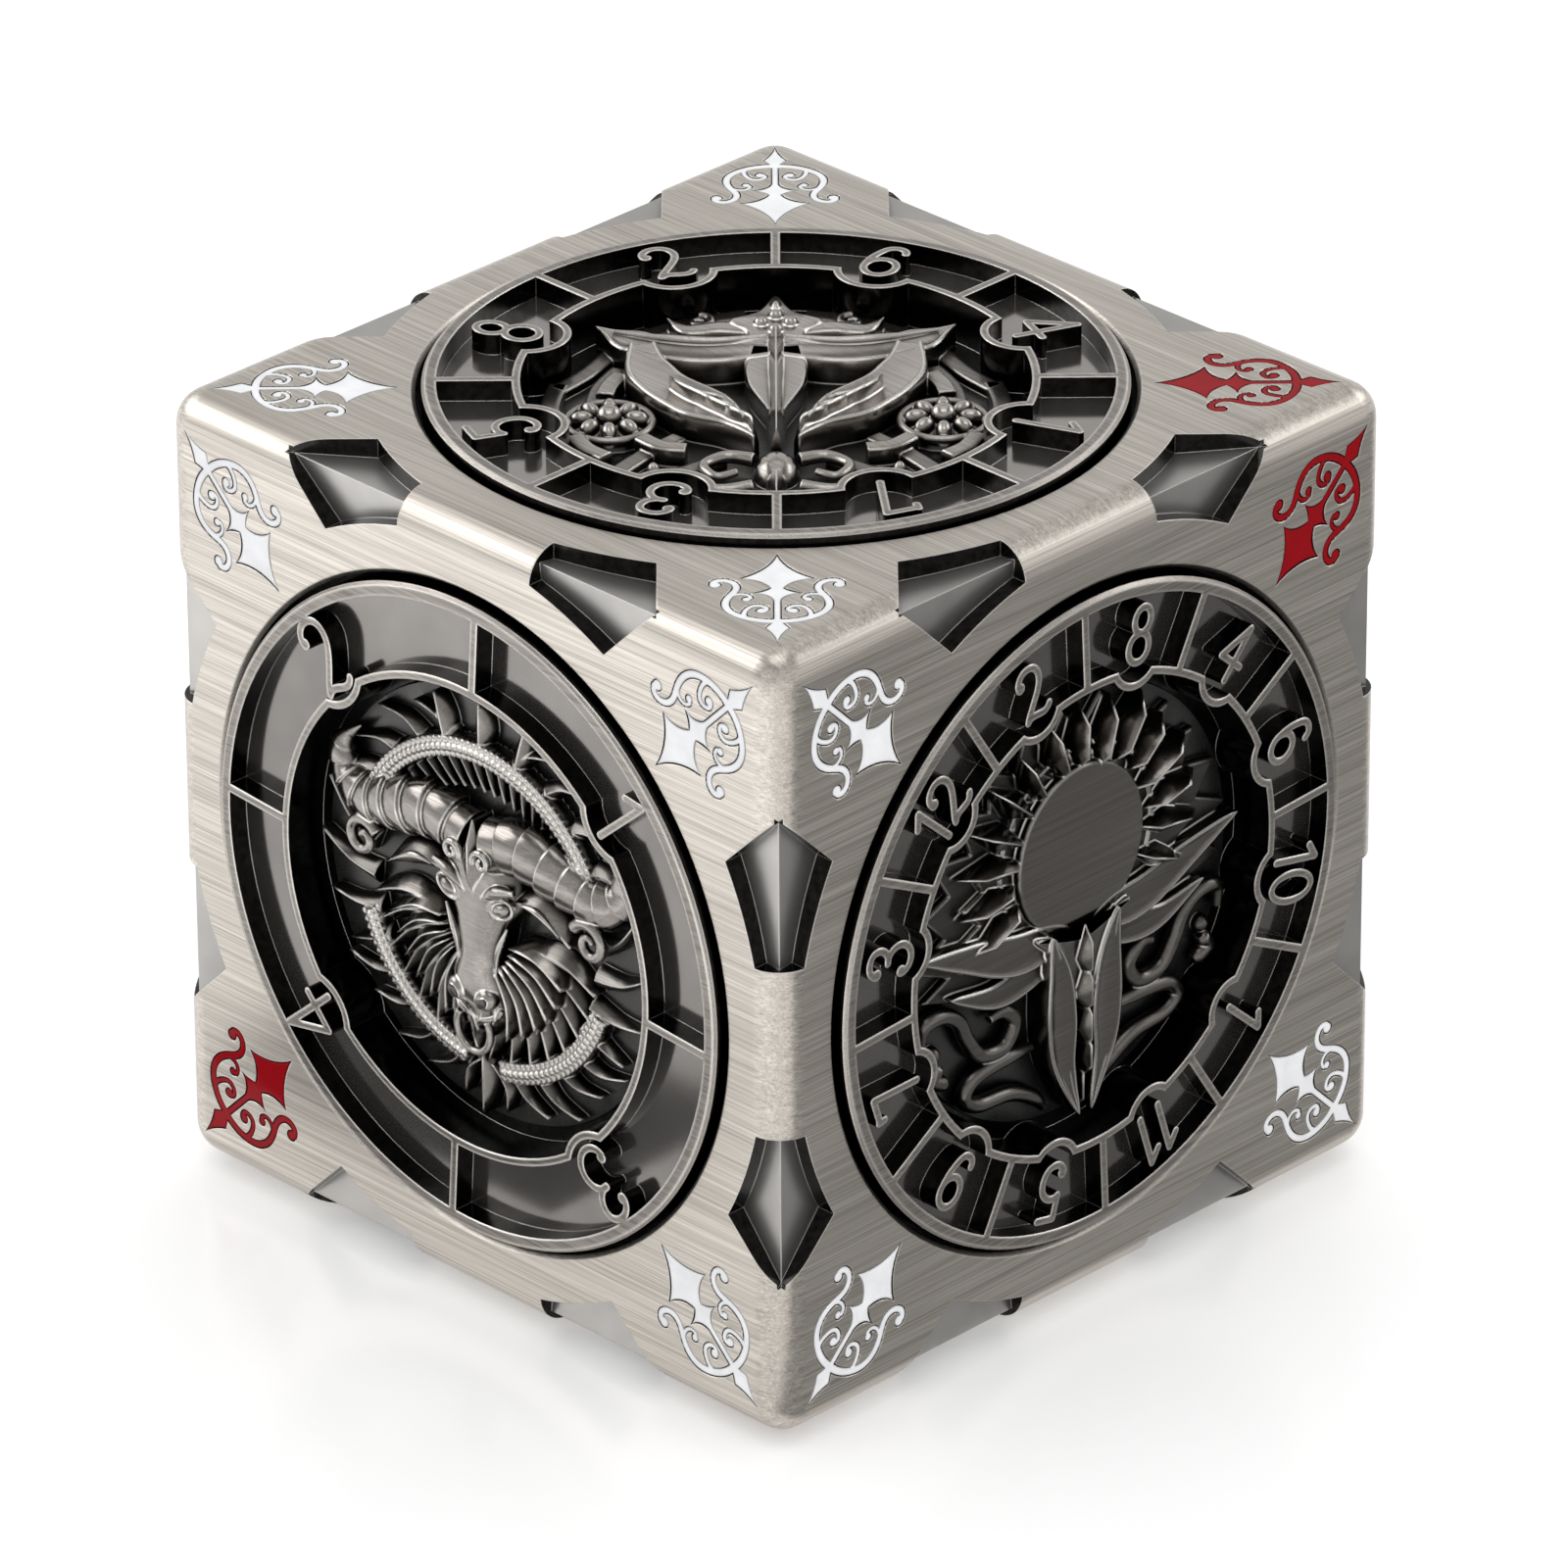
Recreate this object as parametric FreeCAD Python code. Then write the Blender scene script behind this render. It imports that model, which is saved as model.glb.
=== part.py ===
"""Metal fidget cube with a spinning number dial on each of its six faces. Millimetres, +Z up.

The origin is the centre of the bounding box's bottom. The bottom dial's rim is the resting face.
"""
import FreeCAD, Part
import math
import os
from FreeCAD import Vector as V

# ---- driving dimensions ----
CUBE = 35.0                 # casing, face to face
EDGE_R = 1.5                # rounding of the casing's edges
PROUD = 0.35                # how far each dial stands out of its face
HALF = CUBE / 2
CENTRE_Z = HALF + PROUD     # height of the cube's centre above the table

# depths are counted inwards from the casing's face
POCKET_R, POCKET_DEPTH, POCKET_CHAMFER = 14.5, 2.5, 0.18
PLATE_R, PLATE_TOP, PLATE_DEPTH = 13.0, 2.6, 3.7
CORE_BORE_R = 10.0

DIAL_R, DIAL_BOTTOM = 14.25, 2.3
RIM_IN_R, RIM_BEVEL = 13.65, 0.14
FLOOR_DEPTH = 0.55          # floor of the numeral sectors
WELL_DEPTH = 1.6            # floor of the dial's centre well
LINE_W = 0.34               # width of numerals and of the contour ring
SPOKE_W = 0.38
HUB_R = 5.6
WEB_HOLE_R = 3.4

BEARING_IN_R, BEARING_OUT_R = 2.0, 4.0      # 4 x 8 x 3 mm shielded ball bearing
BEARING_TOP, BEARING_W = 2.3, 3.0
BALL_R, BALL_PITCH_R, BALL_COUNT, GROOVE_R = 0.5, 3.0, 9, 0.52
RING_IN_SHOULDER, RING_OUT_SHOULDER = 2.6, 3.4
CAGE_WALL, CAGE_HALF_W, CAGE_GAP = 0.4, 0.66, 0.03
SHIELD_R, SHIELD_HOLE_R, SHIELD_STEP, SHIELD_THICK = 3.55, 2.7, 0.22, 0.14

CUP_IN_R, CUP_OUT_R, CUP_FLOOR, CUP_BOTTOM = 6.0, 6.9, 5.7, 6.7
SHOULDER_R = 2.7            # seat of the bearing's inner ring
POST_TOP = 2.35

AXLE_HEAD_R, AXLE_HEAD_TOP, AXLE_R, AXLE_LEN = 2.4, 1.85, 1.0, 3.6
PLATE_SCREW_PCD_R, PLATE_SCREW_R, PLATE_SCREW_HEAD_R, PLATE_SCREW_LEN = 11.5, 0.8, 1.4, 3.8
SCREW_HOLE_SPARE = 0.3      # a screw hole's depth past the screw's tip

MEDAL_BASE, MEDAL_SPIGOT = 0.2, 0.15

ENAMEL_DEPTH, ENAMEL_TOP, ENAMEL_GAP = 0.35, 0.02, 0.05
ORNAMENT_AT = 13.6          # corner ornament's centre, along both face directions

NOTCH_TIP, NOTCH_INNER = 10.85, 3.75        # ends of an edge notch, from the edge's middle
NOTCH_ARC_R = 16.55         # inner side of a notch, about the dial's centre
NOTCH_RIDGE, NOTCH_SLOPE = 0.6, 0.11


class Face:
    """One side of the cube: u and v lie in it, n points out of it."""

    def __init__(self, name, u, v):
        self.name = name
        self.u = V(*u)
        self.v = V(*v)
        self.n = self.u.cross(self.v)

    def place(self, shape):
        """Move a shape drawn about the cube's centre, with +Z outwards, onto this side."""
        m = FreeCAD.Matrix(self.u.x, self.v.x, self.n.x, 0,
                           self.u.y, self.v.y, self.n.y, 0,
                           self.u.z, self.v.z, self.n.z, CENTRE_Z,
                           0, 0, 0, 1)
        placed = shape.copy()
        placed.Placement = FreeCAD.Placement(m).multiply(shape.Placement)
        return placed


TOP = Face("top", (1, 0, 0), (0, 1, 0))
FRONT = Face("front", (1, 0, 0), (0, 0, 1))
RIGHT = Face("right", (0, 1, 0), (0, 0, 1))
BACK = Face("back", (-1, 0, 0), (0, 0, 1))
LEFT = Face("left", (0, -1, 0), (0, 0, 1))
BOTTOM = Face("bottom", (1, 0, 0), (0, -1, 0))
FACES = [TOP, FRONT, RIGHT, BACK, LEFT, BOTTOM]

# each dial: first spoke's clockwise angle, numerals clockwise from it, numeral height and radius,
# contour ring radius, and the radius and centre distance of the ring's dip around a numeral
DIALS = {
    "top": dict(turn=0, numbers=[4, 1, 7, 3, 5, 8, 2, 6], height=3.1, at=11.75,
                ring=10.45, dip_r=1.65, dip_at=10.9),
    "front": dict(turn=4, numbers=[1, 3, 4, 2], height=3.5, at=11.95,
                  ring=10.35, dip_r=1.9, dip_at=11.75),
    "right": dict(turn=-3, numbers=[8, 4, 6, 10, 1, 11, 5, 9, 7, 3, 12, 2], height=2.75, at=11.95,
                  ring=10.35, dip_r=1.3, dip_at=11.05),
    "back": dict(turn=0, numbers=[20, 8, 14, 2, 16, 6, 12, 4, 18, 10, 1, 19, 7, 13, 3, 17, 5, 11, 9, 15],
                 height=2.1, at=12.1, ring=10.6, dip_r=0.95, dip_at=11.15),
    "left": dict(turn=0, numbers=[1, 5, 3, 6, 2, 4], height=3.3, at=11.85,
                 ring=10.4, dip_r=1.8, dip_at=11.25),
    "bottom": dict(turn=0, numbers=[1, 8, 4, 10, 6, 3, 9, 5, 2, 7], height=2.8, at=11.9,
                   ring=10.4, dip_r=1.4, dip_at=11.0),
}
RED_CORNERS = {"top": (1, 1), "right": (1, 1), "front": (-1, -1),
               "back": (1, 1), "left": (-1, -1), "bottom": (1, 1)}


# ---- drawing helpers, all about the cube's centre with +Z outwards ----
def disc(r, low_depth, high_depth, x=0.0, y=0.0):
    """Cylinder between two depths below the face."""
    return Part.makeCylinder(r, low_depth - high_depth, V(x, y, HALF - low_depth))


def tube(r_out, r_in, low_depth, high_depth):
    return disc(r_out, low_depth, high_depth).cut(disc(r_in, low_depth, high_depth))


def prism(face, low_depth, high_depth):
    """A flat face drawn at z = 0, thickened between two depths below the cube's face."""
    moved = face.copy()
    moved.translate(V(0, 0, HALF - low_depth))
    return moved.extrude(V(0, 0, low_depth - high_depth))


def merged_prism(faces, low_depth, high_depth):
    """Overlapping flat faces thickened and joined into one solid."""
    prisms = [prism(face, low_depth, high_depth) for face in faces]
    joined = prisms[0].multiFuse(prisms[1:]) if len(prisms) > 1 else prisms[0]
    return joined.removeSplitter()


def curve(points):
    spline = Part.BSplineCurve()
    spline.interpolate([V(x, y, 0) for x, y in points])
    return spline


def band(points, width, end_width=None, steps=16):
    """Rounded stroke along a smooth line, its width running evenly from one end to the other."""
    end_width = width if end_width is None else end_width
    line = curve(points)
    first, last = line.FirstParameter, line.LastParameter
    sides = ([], [])
    for i in range(steps + 1):
        t = first + (last - first) * i / steps
        p = line.value(t)
        d = line.tangent(t)[0]
        half = (width + (end_width - width) * i / steps) / 2
        sides[0].append((p.x - d.y * half, p.y + d.x * half))
        sides[1].append((p.x + d.y * half, p.y - d.x * half))
    sides[1].reverse()
    caps = []
    for t, sign, half in ((last, 1, end_width / 2), (first, -1, width / 2)):
        p = line.value(t)
        d = line.tangent(t)[0] * (sign * half)
        n = V(-d.y, d.x, 0)
        caps.append(Part.Arc(p + n, p + d, p - n).toShape())
    edges = [curve(sides[0]).toShape(), caps[0], curve(sides[1]).toShape(), caps[1]]
    return Part.Face(Part.Wire(Part.__sortEdges__(edges)))


def bar(x0, y0, x1, y1, width):
    """Straight stroke with round ends."""
    p, q = V(x0, y0, 0), V(x1, y1, 0)
    d = (q - p).normalize() * (width / 2)
    n = V(-d.y, d.x, 0)
    edges = [Part.LineSegment(p + n, q + n).toShape(), Part.Arc(q + n, q + d, q - n).toShape(),
             Part.LineSegment(q - n, p - n).toShape(), Part.Arc(p - n, p - d, p + n).toShape()]
    return Part.Face(Part.Wire(edges))


def oval(x, y, rx, ry, width):
    """Oval ring."""
    faces = []
    for grow in (width / 2, -width / 2):
        a, b = rx + grow, ry + grow
        if a >= b:
            ring = Part.Ellipse(V(x + a, y, 0), V(x, y + b, 0), V(x, y, 0))
        else:
            ring = Part.Ellipse(V(x, y + b, 0), V(x - a, y, 0), V(x, y, 0))
        faces.append(Part.Face(Part.Wire(ring.toShape())))
    return faces[0].cut(faces[1])


def spot(x, y, r):
    return Part.Face(Part.Wire(Part.makeCircle(r, V(x, y, 0))))


def polygon(points):
    return Part.Face(Part.makePolygon([V(x, y, 0) for x, y in points + points[:1]]))


def outline(parts):
    """Closed outline: each part is (start, middle of an arc or None); the last joins the first."""
    edges = []
    for i, (start, middle) in enumerate(parts):
        end = parts[(i + 1) % len(parts)][0]
        a, b = V(*start, 0), V(*end, 0)
        if middle is None:
            edges.append(Part.LineSegment(a, b).toShape())
        else:
            edges.append(Part.Arc(a, V(*middle, 0), b).toShape())
    return Part.Face(Part.Wire(edges))


def turned(shape, degrees):
    """A copy turned clockwise about the face's normal."""
    copy = shape.copy()
    copy.rotate(V(0, 0, 0), V(0, 0, 1), -degrees)
    return copy


def mirrored(face):
    return face.mirror(V(0, 0, 0), V(1, 0, 0))


# ---- numerals: drawn one unit tall about their own centre ----
CURLY_TWO = [(-0.25, 0.27), (-0.20, 0.41), (-0.03, 0.49), (0.16, 0.42), (0.22, 0.24), (0.13, 0.0),
             (-0.25, -0.47)]
TWO_FOOT = [(-0.25, -0.47), (-0.06, -0.44), (0.12, -0.49), (0.28, -0.42)]
THREE_TOP = [(-0.24, 0.30), (-0.17, 0.43), (0.0, 0.49), (0.17, 0.42), (0.21, 0.27), (0.13, 0.11),
             (-0.04, 0.05)]
THREE_LOW = [(-0.04, 0.05), (0.15, 0.01), (0.25, -0.14), (0.23, -0.34), (0.09, -0.47), (-0.1, -0.48),
             (-0.25, -0.33)]
FIVE_BOWL = [(-0.17, 0.07), (0.03, 0.12), (0.20, 0.0), (0.24, -0.2), (0.15, -0.41), (-0.04, -0.49),
             (-0.24, -0.36)]
SIX_STEM = [(0.20, 0.32), (0.10, 0.45), (-0.05, 0.44), (-0.17, 0.26), (-0.24, -0.02), (-0.24, -0.22)]
BALL_END = 0.25             # radius of a curled stroke's round end
DIGITS = {
    "0": [("oval", 0, 0, 0.25, 0.49)],
    "1": [("bar", 0.04, 0.49, 0.04, -0.49), ("bar", 0.04, 0.49, -0.18, 0.30)],
    "2": [("band", CURLY_TWO), ("band", TWO_FOOT), ("spot", -0.22, 0.25)],
    "3": [("band", THREE_TOP), ("band", THREE_LOW), ("spot", -0.21, 0.28), ("spot", -0.22, -0.30)],
    "4": [("bar", 0.10, 0.49, -0.28, -0.16), ("bar", -0.28, -0.16, 0.30, -0.16),
          ("bar", 0.10, 0.49, 0.10, -0.49)],
    "5": [("bar", 0.24, 0.49, -0.14, 0.49), ("bar", -0.14, 0.49, -0.17, 0.07), ("band", FIVE_BOWL),
          ("spot", -0.21, -0.33)],
    "6": [("oval", 0, -0.22, 0.24, 0.27), ("band", SIX_STEM)],
    "7": [("bar", -0.24, 0.36, -0.22, 0.49), ("bar", -0.22, 0.47, 0.26, 0.47),
          ("bar", 0.26, 0.47, -0.04, -0.49)],
    "8": [("oval", 0, 0.26, 0.19, 0.23), ("oval", 0, -0.23, 0.24, 0.26)],
}


def digit_strokes(digit, tall):
    """One digit's strokes as flat faces, tall millimetres high in all."""
    if digit == "9":
        return [turned(stroke, 180) for stroke in digit_strokes("6", tall)]
    k = tall - LINE_W
    strokes = []
    for kind, *data in DIGITS[digit]:
        if kind == "band":
            strokes.append(band([(x * k, y * k) for x, y in data[0]], LINE_W))
        elif kind == "bar":
            strokes.append(bar(*[c * k for c in data], LINE_W))
        elif kind == "spot":
            strokes.append(spot(data[0] * k, data[1] * k, BALL_END * min(1.0, tall / 2.7)))
        else:
            strokes.append(oval(*[c * k for c in data], LINE_W))
    return strokes


def number_prisms(number, tall, radius, angle):
    """A one or two digit number, its top outwards, centred at a clockwise angle round the dial."""
    digits = str(number)
    if len(digits) == 2:
        spread = 0.20 if "1" in digits else 0.27
        spread = 0.16 if digits == "11" else spread
        shifts = (-spread * tall - 0.1, spread * tall + 0.1)
    else:
        shifts = (0.0,)
    prisms = []
    for digit, shift in zip(digits, shifts):
        solid = merged_prism(digit_strokes(digit, tall), 3, -2)
        solid.translate(V(shift, radius, 0))
        prisms.append(turned(solid, angle))
    return prisms


# ---- casing ----
def notch_cutter():
    """One half of an edge notch, in the top face beside its +Y edge, on the +X side of the middle."""
    reach = 0.6
    widest_y = HALF - 2.954
    widest_x = NOTCH_TIP - (HALF - widest_y)
    inner_y = math.sqrt(NOTCH_ARC_R ** 2 - NOTCH_INNER ** 2)
    mid = math.radians(75)
    shape = outline([((NOTCH_TIP + reach, HALF + reach), None),
                     ((widest_x, widest_y), (NOTCH_ARC_R * math.cos(mid), NOTCH_ARC_R * math.sin(mid))),
                     ((NOTCH_INNER, inner_y), None),
                     ((NOTCH_INNER, HALF + reach), None)])
    block = prism(shape, 2.0, -0.5)
    # the floor slopes down from the ridge to the inner side
    low = HALF - NOTCH_RIDGE
    run = 4.0
    floor = [(HALF + reach, low + NOTCH_SLOPE * (reach + NOTCH_RIDGE)), (low - run, low - NOTCH_SLOPE * run),
             (low - run, HALF + 1), (HALF + reach, HALF + 1)]
    wedge = Part.Face(Part.makePolygon([V(0, y, z) for y, z in floor + floor[:1]])).extrude(V(CUBE, 0, 0))
    return block.common(wedge)


def notch_cutters():
    """All the cutters of one face: two notches beside each of its four edges."""
    half = notch_cutter()
    both = [half, mirrored(half)]
    return [turned(cutter, 90 * i) for i in range(4) for cutter in both]


def ornament(gap):
    """Flat faces of a scroll ornament, its spear tip towards +Y; gap narrows it all round."""
    def stroke(points, width, end_width):
        return band(points, width - 2 * gap, end_width - 2 * gap)
    g = gap
    spear = outline([((0, 3.62 - 3 * g), (0.19 - g, 2.85)), ((0.5 - g, 2.25), None), ((0.19 - g, 1.72), None),
                     ((-0.19 + g, 1.72), None), ((-0.5 + g, 2.25), (-0.19 + g, 2.85))])
    lozenges = outline([((0.17 - g, -0.1), (0.44 - g, -0.5 - g)),
                        ((1.05 - 2 * g, -0.72), (0.62 - g, -0.9 + g)),
                        ((0.28 - g, -1.15), (0.72 - g, -1.68 - g)),
                        ((1.5 - 2 * g, -1.98), (0.66 - g, -2.72 + g)),
                        ((0, -4.1 + 3 * g), (-0.66 + g, -2.72 + g)),
                        ((-1.5 + 2 * g, -1.98), (-0.72 + g, -1.68 - g)),
                        ((-0.28 + g, -1.15), (-0.62 + g, -0.9 + g)),
                        ((-1.05 + 2 * g, -0.72), (-0.44 + g, -0.5 - g)),
                        ((-0.17 + g, -0.1), None)])
    stem = polygon([(0.17 - g, -0.2), (0.17 - g, 1.85), (-0.17 + g, 1.85), (-0.17 + g, -0.2)])
    left = [
        stroke([(0.0, 1.66), (-0.7, 1.6), (-1.4, 1.27), (-1.9, 0.72), (-2.02, 0.15), (-1.85, -0.5),
                (-1.6, -1.1), (-1.72, -1.62), (-2.16, -1.85), (-2.5, -1.62)], 0.42, 0.36),
        spot(-2.42, -1.45, 0.27 - g),
        stroke([(-1.28, 1.22), (-1.22, 0.72), (-0.84, 0.34), (-0.45, 0.5), (-0.5, 0.82)], 0.3, 0.28),
        spot(-0.62, 0.78, 0.24 - g),
        stroke([(-1.86, -0.3), (-1.62, -0.62), (-1.22, -0.62), (-1.04, -0.3)], 0.26, 0.26),
        spot(-1.2, -0.2, 0.21 - g)]
    return [stem, spear, lozenges] + left + [mirrored(s) for s in left]


def ornament_prisms(gap, low_depth, high_depth):
    """The four corner ornaments of one face, keyed by the corner's signs."""
    upright = merged_prism(ornament(gap), low_depth, high_depth)
    prisms = {}
    for su, sv in ((1, 1), (-1, 1), (-1, -1), (1, -1)):
        corner = turned(upright, math.degrees(math.atan2(su, sv)))
        corner.translate(V(su * ORNAMENT_AT, sv * ORNAMENT_AT, 0))
        prisms[(su, sv)] = corner
    return prisms


def screw_spots():
    """Centres of a bearing plate's four screws."""
    at = PLATE_SCREW_PCD_R / math.sqrt(2)
    return [(at, at), (-at, at), (-at, -at), (at, -at)]


def casing():
    block = Part.makeBox(CUBE, CUBE, CUBE, V(-HALF, -HALF, CENTRE_Z - HALF))
    block = block.makeFillet(EDGE_R, block.Edges)
    length = CUBE + 2
    bores = []
    for axis in (V(1, 0, 0), V(0, 1, 0), V(0, 0, 1)):
        start = V(0, 0, CENTRE_Z) - axis * (length / 2)
        bores.append(Part.makeCylinder(CORE_BORE_R, length, start, axis))
    cutters = []
    for face in FACES:
        mouth = Part.makeCone(POCKET_R, POCKET_R + 2 * POCKET_CHAMFER, 2 * POCKET_CHAMFER,
                              V(0, 0, HALF - POCKET_CHAMFER))
        local = [disc(POCKET_R, POCKET_DEPTH, -1), mouth, disc(PLATE_R, PLATE_DEPTH, 0)]
        hole_depth = PLATE_TOP + PLATE_SCREW_LEN + SCREW_HOLE_SPARE
        local += [disc(PLATE_SCREW_R, hole_depth, 0, x, y) for x, y in screw_spots()]
        local += notch_cutters()
        local += list(ornament_prisms(0.0, ENAMEL_DEPTH, -1).values())
        cutters += [face.place(c) for c in local]
    return block.cut(bores[0].multiFuse(bores[1:])).cut(cutters)


def enamel():
    """White and red corner ornaments, filled to just below the face."""
    white, red = [], []
    for face in FACES:
        for corner, solid in ornament_prisms(ENAMEL_GAP, ENAMEL_DEPTH, ENAMEL_TOP).items():
            chosen = red if corner == RED_CORNERS[face.name] else white
            chosen.append(face.place(solid))
    return Part.makeCompound(white), Part.makeCompound(red)


# ---- bearing plate and screws ----
def bearing_plate():
    plate = disc(PLATE_R, PLATE_DEPTH, PLATE_TOP).fuse(disc(CUP_OUT_R, CUP_BOTTOM, PLATE_TOP))
    plate = plate.cut(disc(CUP_IN_R, CUP_FLOOR, 0))
    plate = plate.fuse([disc(SHOULDER_R, CUP_FLOOR, BEARING_TOP + BEARING_W),
                        disc(BEARING_IN_R, CUP_FLOOR, POST_TOP)])
    holes = [disc(AXLE_R, CUP_BOTTOM, 0)]
    head = PLATE_SCREW_HEAD_R - PLATE_SCREW_R
    for x, y in screw_spots():
        holes.append(disc(PLATE_SCREW_R, PLATE_DEPTH, 0, x, y))
        seat = V(x, y, HALF - PLATE_TOP - head)
        holes.append(Part.makeCone(PLATE_SCREW_R, PLATE_SCREW_HEAD_R, head, seat))
    return plate.cut(holes).removeSplitter()


def hex_recess(across, depth, x, y, top_depth):
    r = across / math.sqrt(3)
    turns = [math.radians(60 * i) for i in range(6)]
    corners = [(x + r * math.cos(t), y + r * math.sin(t)) for t in turns]
    return prism(polygon(corners), top_depth + depth, top_depth)


def plate_screws():
    """The four countersunk screws of one plate."""
    screws = []
    head = PLATE_SCREW_HEAD_R - PLATE_SCREW_R
    for x, y in screw_spots():
        cone = Part.makeCone(PLATE_SCREW_R, PLATE_SCREW_HEAD_R, head, V(x, y, HALF - PLATE_TOP - head))
        shank = disc(PLATE_SCREW_R, PLATE_TOP + PLATE_SCREW_LEN, PLATE_TOP + head / 2, x, y)
        screws.append(cone.fuse(shank).cut(hex_recess(0.9, 0.45, x, y, PLATE_TOP)).removeSplitter())
    return screws


def axle_screw():
    head = disc(AXLE_HEAD_R, BEARING_TOP, AXLE_HEAD_TOP)
    top_edges = [e for e in head.Edges if e.CenterOfMass.z > HALF - AXLE_HEAD_TOP - 0.01]
    head = head.makeChamfer(0.12, top_edges[:1])
    shank = disc(AXLE_R, BEARING_TOP + AXLE_LEN, BEARING_TOP)
    return head.fuse(shank).cut(hex_recess(1.3, 0.35, 0, 0, AXLE_HEAD_TOP)).removeSplitter()


# ---- bearing ----
def groove():
    return Part.makeTorus(BALL_PITCH_R, GROOVE_R, V(0, 0, HALF - BEARING_TOP - BEARING_W / 2))


def inner_ring():
    return tube(RING_IN_SHOULDER, BEARING_IN_R, BEARING_TOP + BEARING_W, BEARING_TOP).cut(groove())


def shield_discs():
    """The two thin shields, each seated in a step of the outer ring."""
    low = BEARING_TOP + BEARING_W
    near, far = SHIELD_STEP - SHIELD_THICK, SHIELD_STEP
    return [tube(SHIELD_R, SHIELD_HOLE_R, BEARING_TOP + far, BEARING_TOP + near),
            tube(SHIELD_R, SHIELD_HOLE_R, low - near, low - far)]


def outer_ring():
    low = BEARING_TOP + BEARING_W
    ring = tube(BEARING_OUT_R, RING_OUT_SHOULDER, low, BEARING_TOP).cut(groove())
    steps = [disc(SHIELD_R, BEARING_TOP + SHIELD_STEP, BEARING_TOP), disc(SHIELD_R, low, low - SHIELD_STEP)]
    return ring.cut(steps)


def ball_spots():
    return [(BALL_PITCH_R * math.cos(math.radians(360 * i / BALL_COUNT)),
             BALL_PITCH_R * math.sin(math.radians(360 * i / BALL_COUNT))) for i in range(BALL_COUNT)]


def balls():
    mid = HALF - BEARING_TOP - BEARING_W / 2
    return [Part.makeSphere(BALL_R, V(x, y, mid)) for x, y in ball_spots()]


def cage():
    """A band with one round window drilled through it for each ball."""
    middle = BEARING_TOP + BEARING_W / 2
    band_in, band_out = BALL_PITCH_R - CAGE_WALL / 2, BALL_PITCH_R + CAGE_WALL / 2
    ring = tube(band_out, band_in, middle + CAGE_HALF_W, middle - CAGE_HALF_W)
    windows = []
    for x, y in ball_spots():
        outwards = V(x, y, 0).normalize()
        start = V(x, y, HALF - middle) - outwards * CAGE_WALL
        windows.append(Part.makeCylinder(BALL_R + CAGE_GAP, 2 * CAGE_WALL, start, outwards))
    return ring.cut(windows)


# ---- dial ----
def dial(spec):
    """Number dial: rim, spokes, contour ring that dips round each numeral, numerals and centre well."""
    count = len(spec["numbers"])
    step = 360 / count
    ring, half_w = spec["ring"], LINE_W / 2
    middles = [spec["turn"] + step * (i + 0.5) for i in range(count)]
    dip_at = spec["dip_at"]
    dips = [(dip_at * math.sin(math.radians(a)), dip_at * math.cos(math.radians(a))) for a in middles]

    body = disc(DIAL_R, DIAL_BOTTOM, -PROUD)
    rim_edges = [e for e in body.Edges if e.CenterOfMass.z > HALF and len(e.Vertexes) == 1]
    body = body.makeChamfer(RIM_BEVEL, rim_edges[:1])
    well = disc(ring - half_w, WELL_DEPTH, -1).cut([disc(spec["dip_r"] + half_w, 3, -2, x, y) for x, y in dips])
    sectors = disc(RIM_IN_R, FLOOR_DEPTH, -1).cut(disc(ring + half_w, 3, -2))
    hollows = [disc(spec["dip_r"] - half_w, FLOOR_DEPTH, -1, x, y) for x, y in dips]
    sectors = sectors.fuse(hollows).common(disc(RIM_IN_R, 3, -2))

    spoke_box = Part.makeBox(SPOKE_W, RIM_IN_R - ring + 1, 5, V(-SPOKE_W / 2, ring, HALF - 3))
    keep = [turned(spoke_box, spec["turn"] + step * i) for i in range(count)]
    for number, angle in zip(spec["numbers"], middles):
        keep += number_prisms(number, spec["height"], spec["at"], angle)
    sectors = sectors.cut(keep)

    body = body.cut([well, sectors])
    body = body.fuse(disc(HUB_R, BEARING_TOP + BEARING_W, DIAL_BOTTOM))
    bore = disc(BEARING_OUT_R, BEARING_TOP + BEARING_W, BEARING_TOP)
    return body.cut([bore, disc(WEB_HOLE_R, 6, 0)]).removeSplitter()


# ---- medallions: flat relief on a thin base disc, pressed into the dial's centre well ----
def tier(faces, top):
    """Relief shapes standing on the base disc, top millimetres above it."""
    return [prism(face, WELL_DEPTH - MEDAL_BASE / 2, WELL_DEPTH - MEDAL_BASE - top) for face in faces]


def regular(corners, r):
    """Regular polygon with one corner towards +Y."""
    turns = [math.radians(360 * i / corners) for i in range(corners)]
    return polygon([(r * math.sin(t), r * math.cos(t)) for t in turns])


def both_sides(faces):
    return faces + [mirrored(f) for f in faces]


def spikes(count, r_low, r_high, width, first=0.0, sweep=360.0):
    """Kite-shaped spikes standing outwards in a circle."""
    middle = r_low + 0.35 * (r_high - r_low)
    kite = polygon([(0, r_low), (width / 2, middle), (0, r_high), (-width / 2, middle)])
    return [turned(kite, first + sweep * i / count) for i in range(count)]


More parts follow.
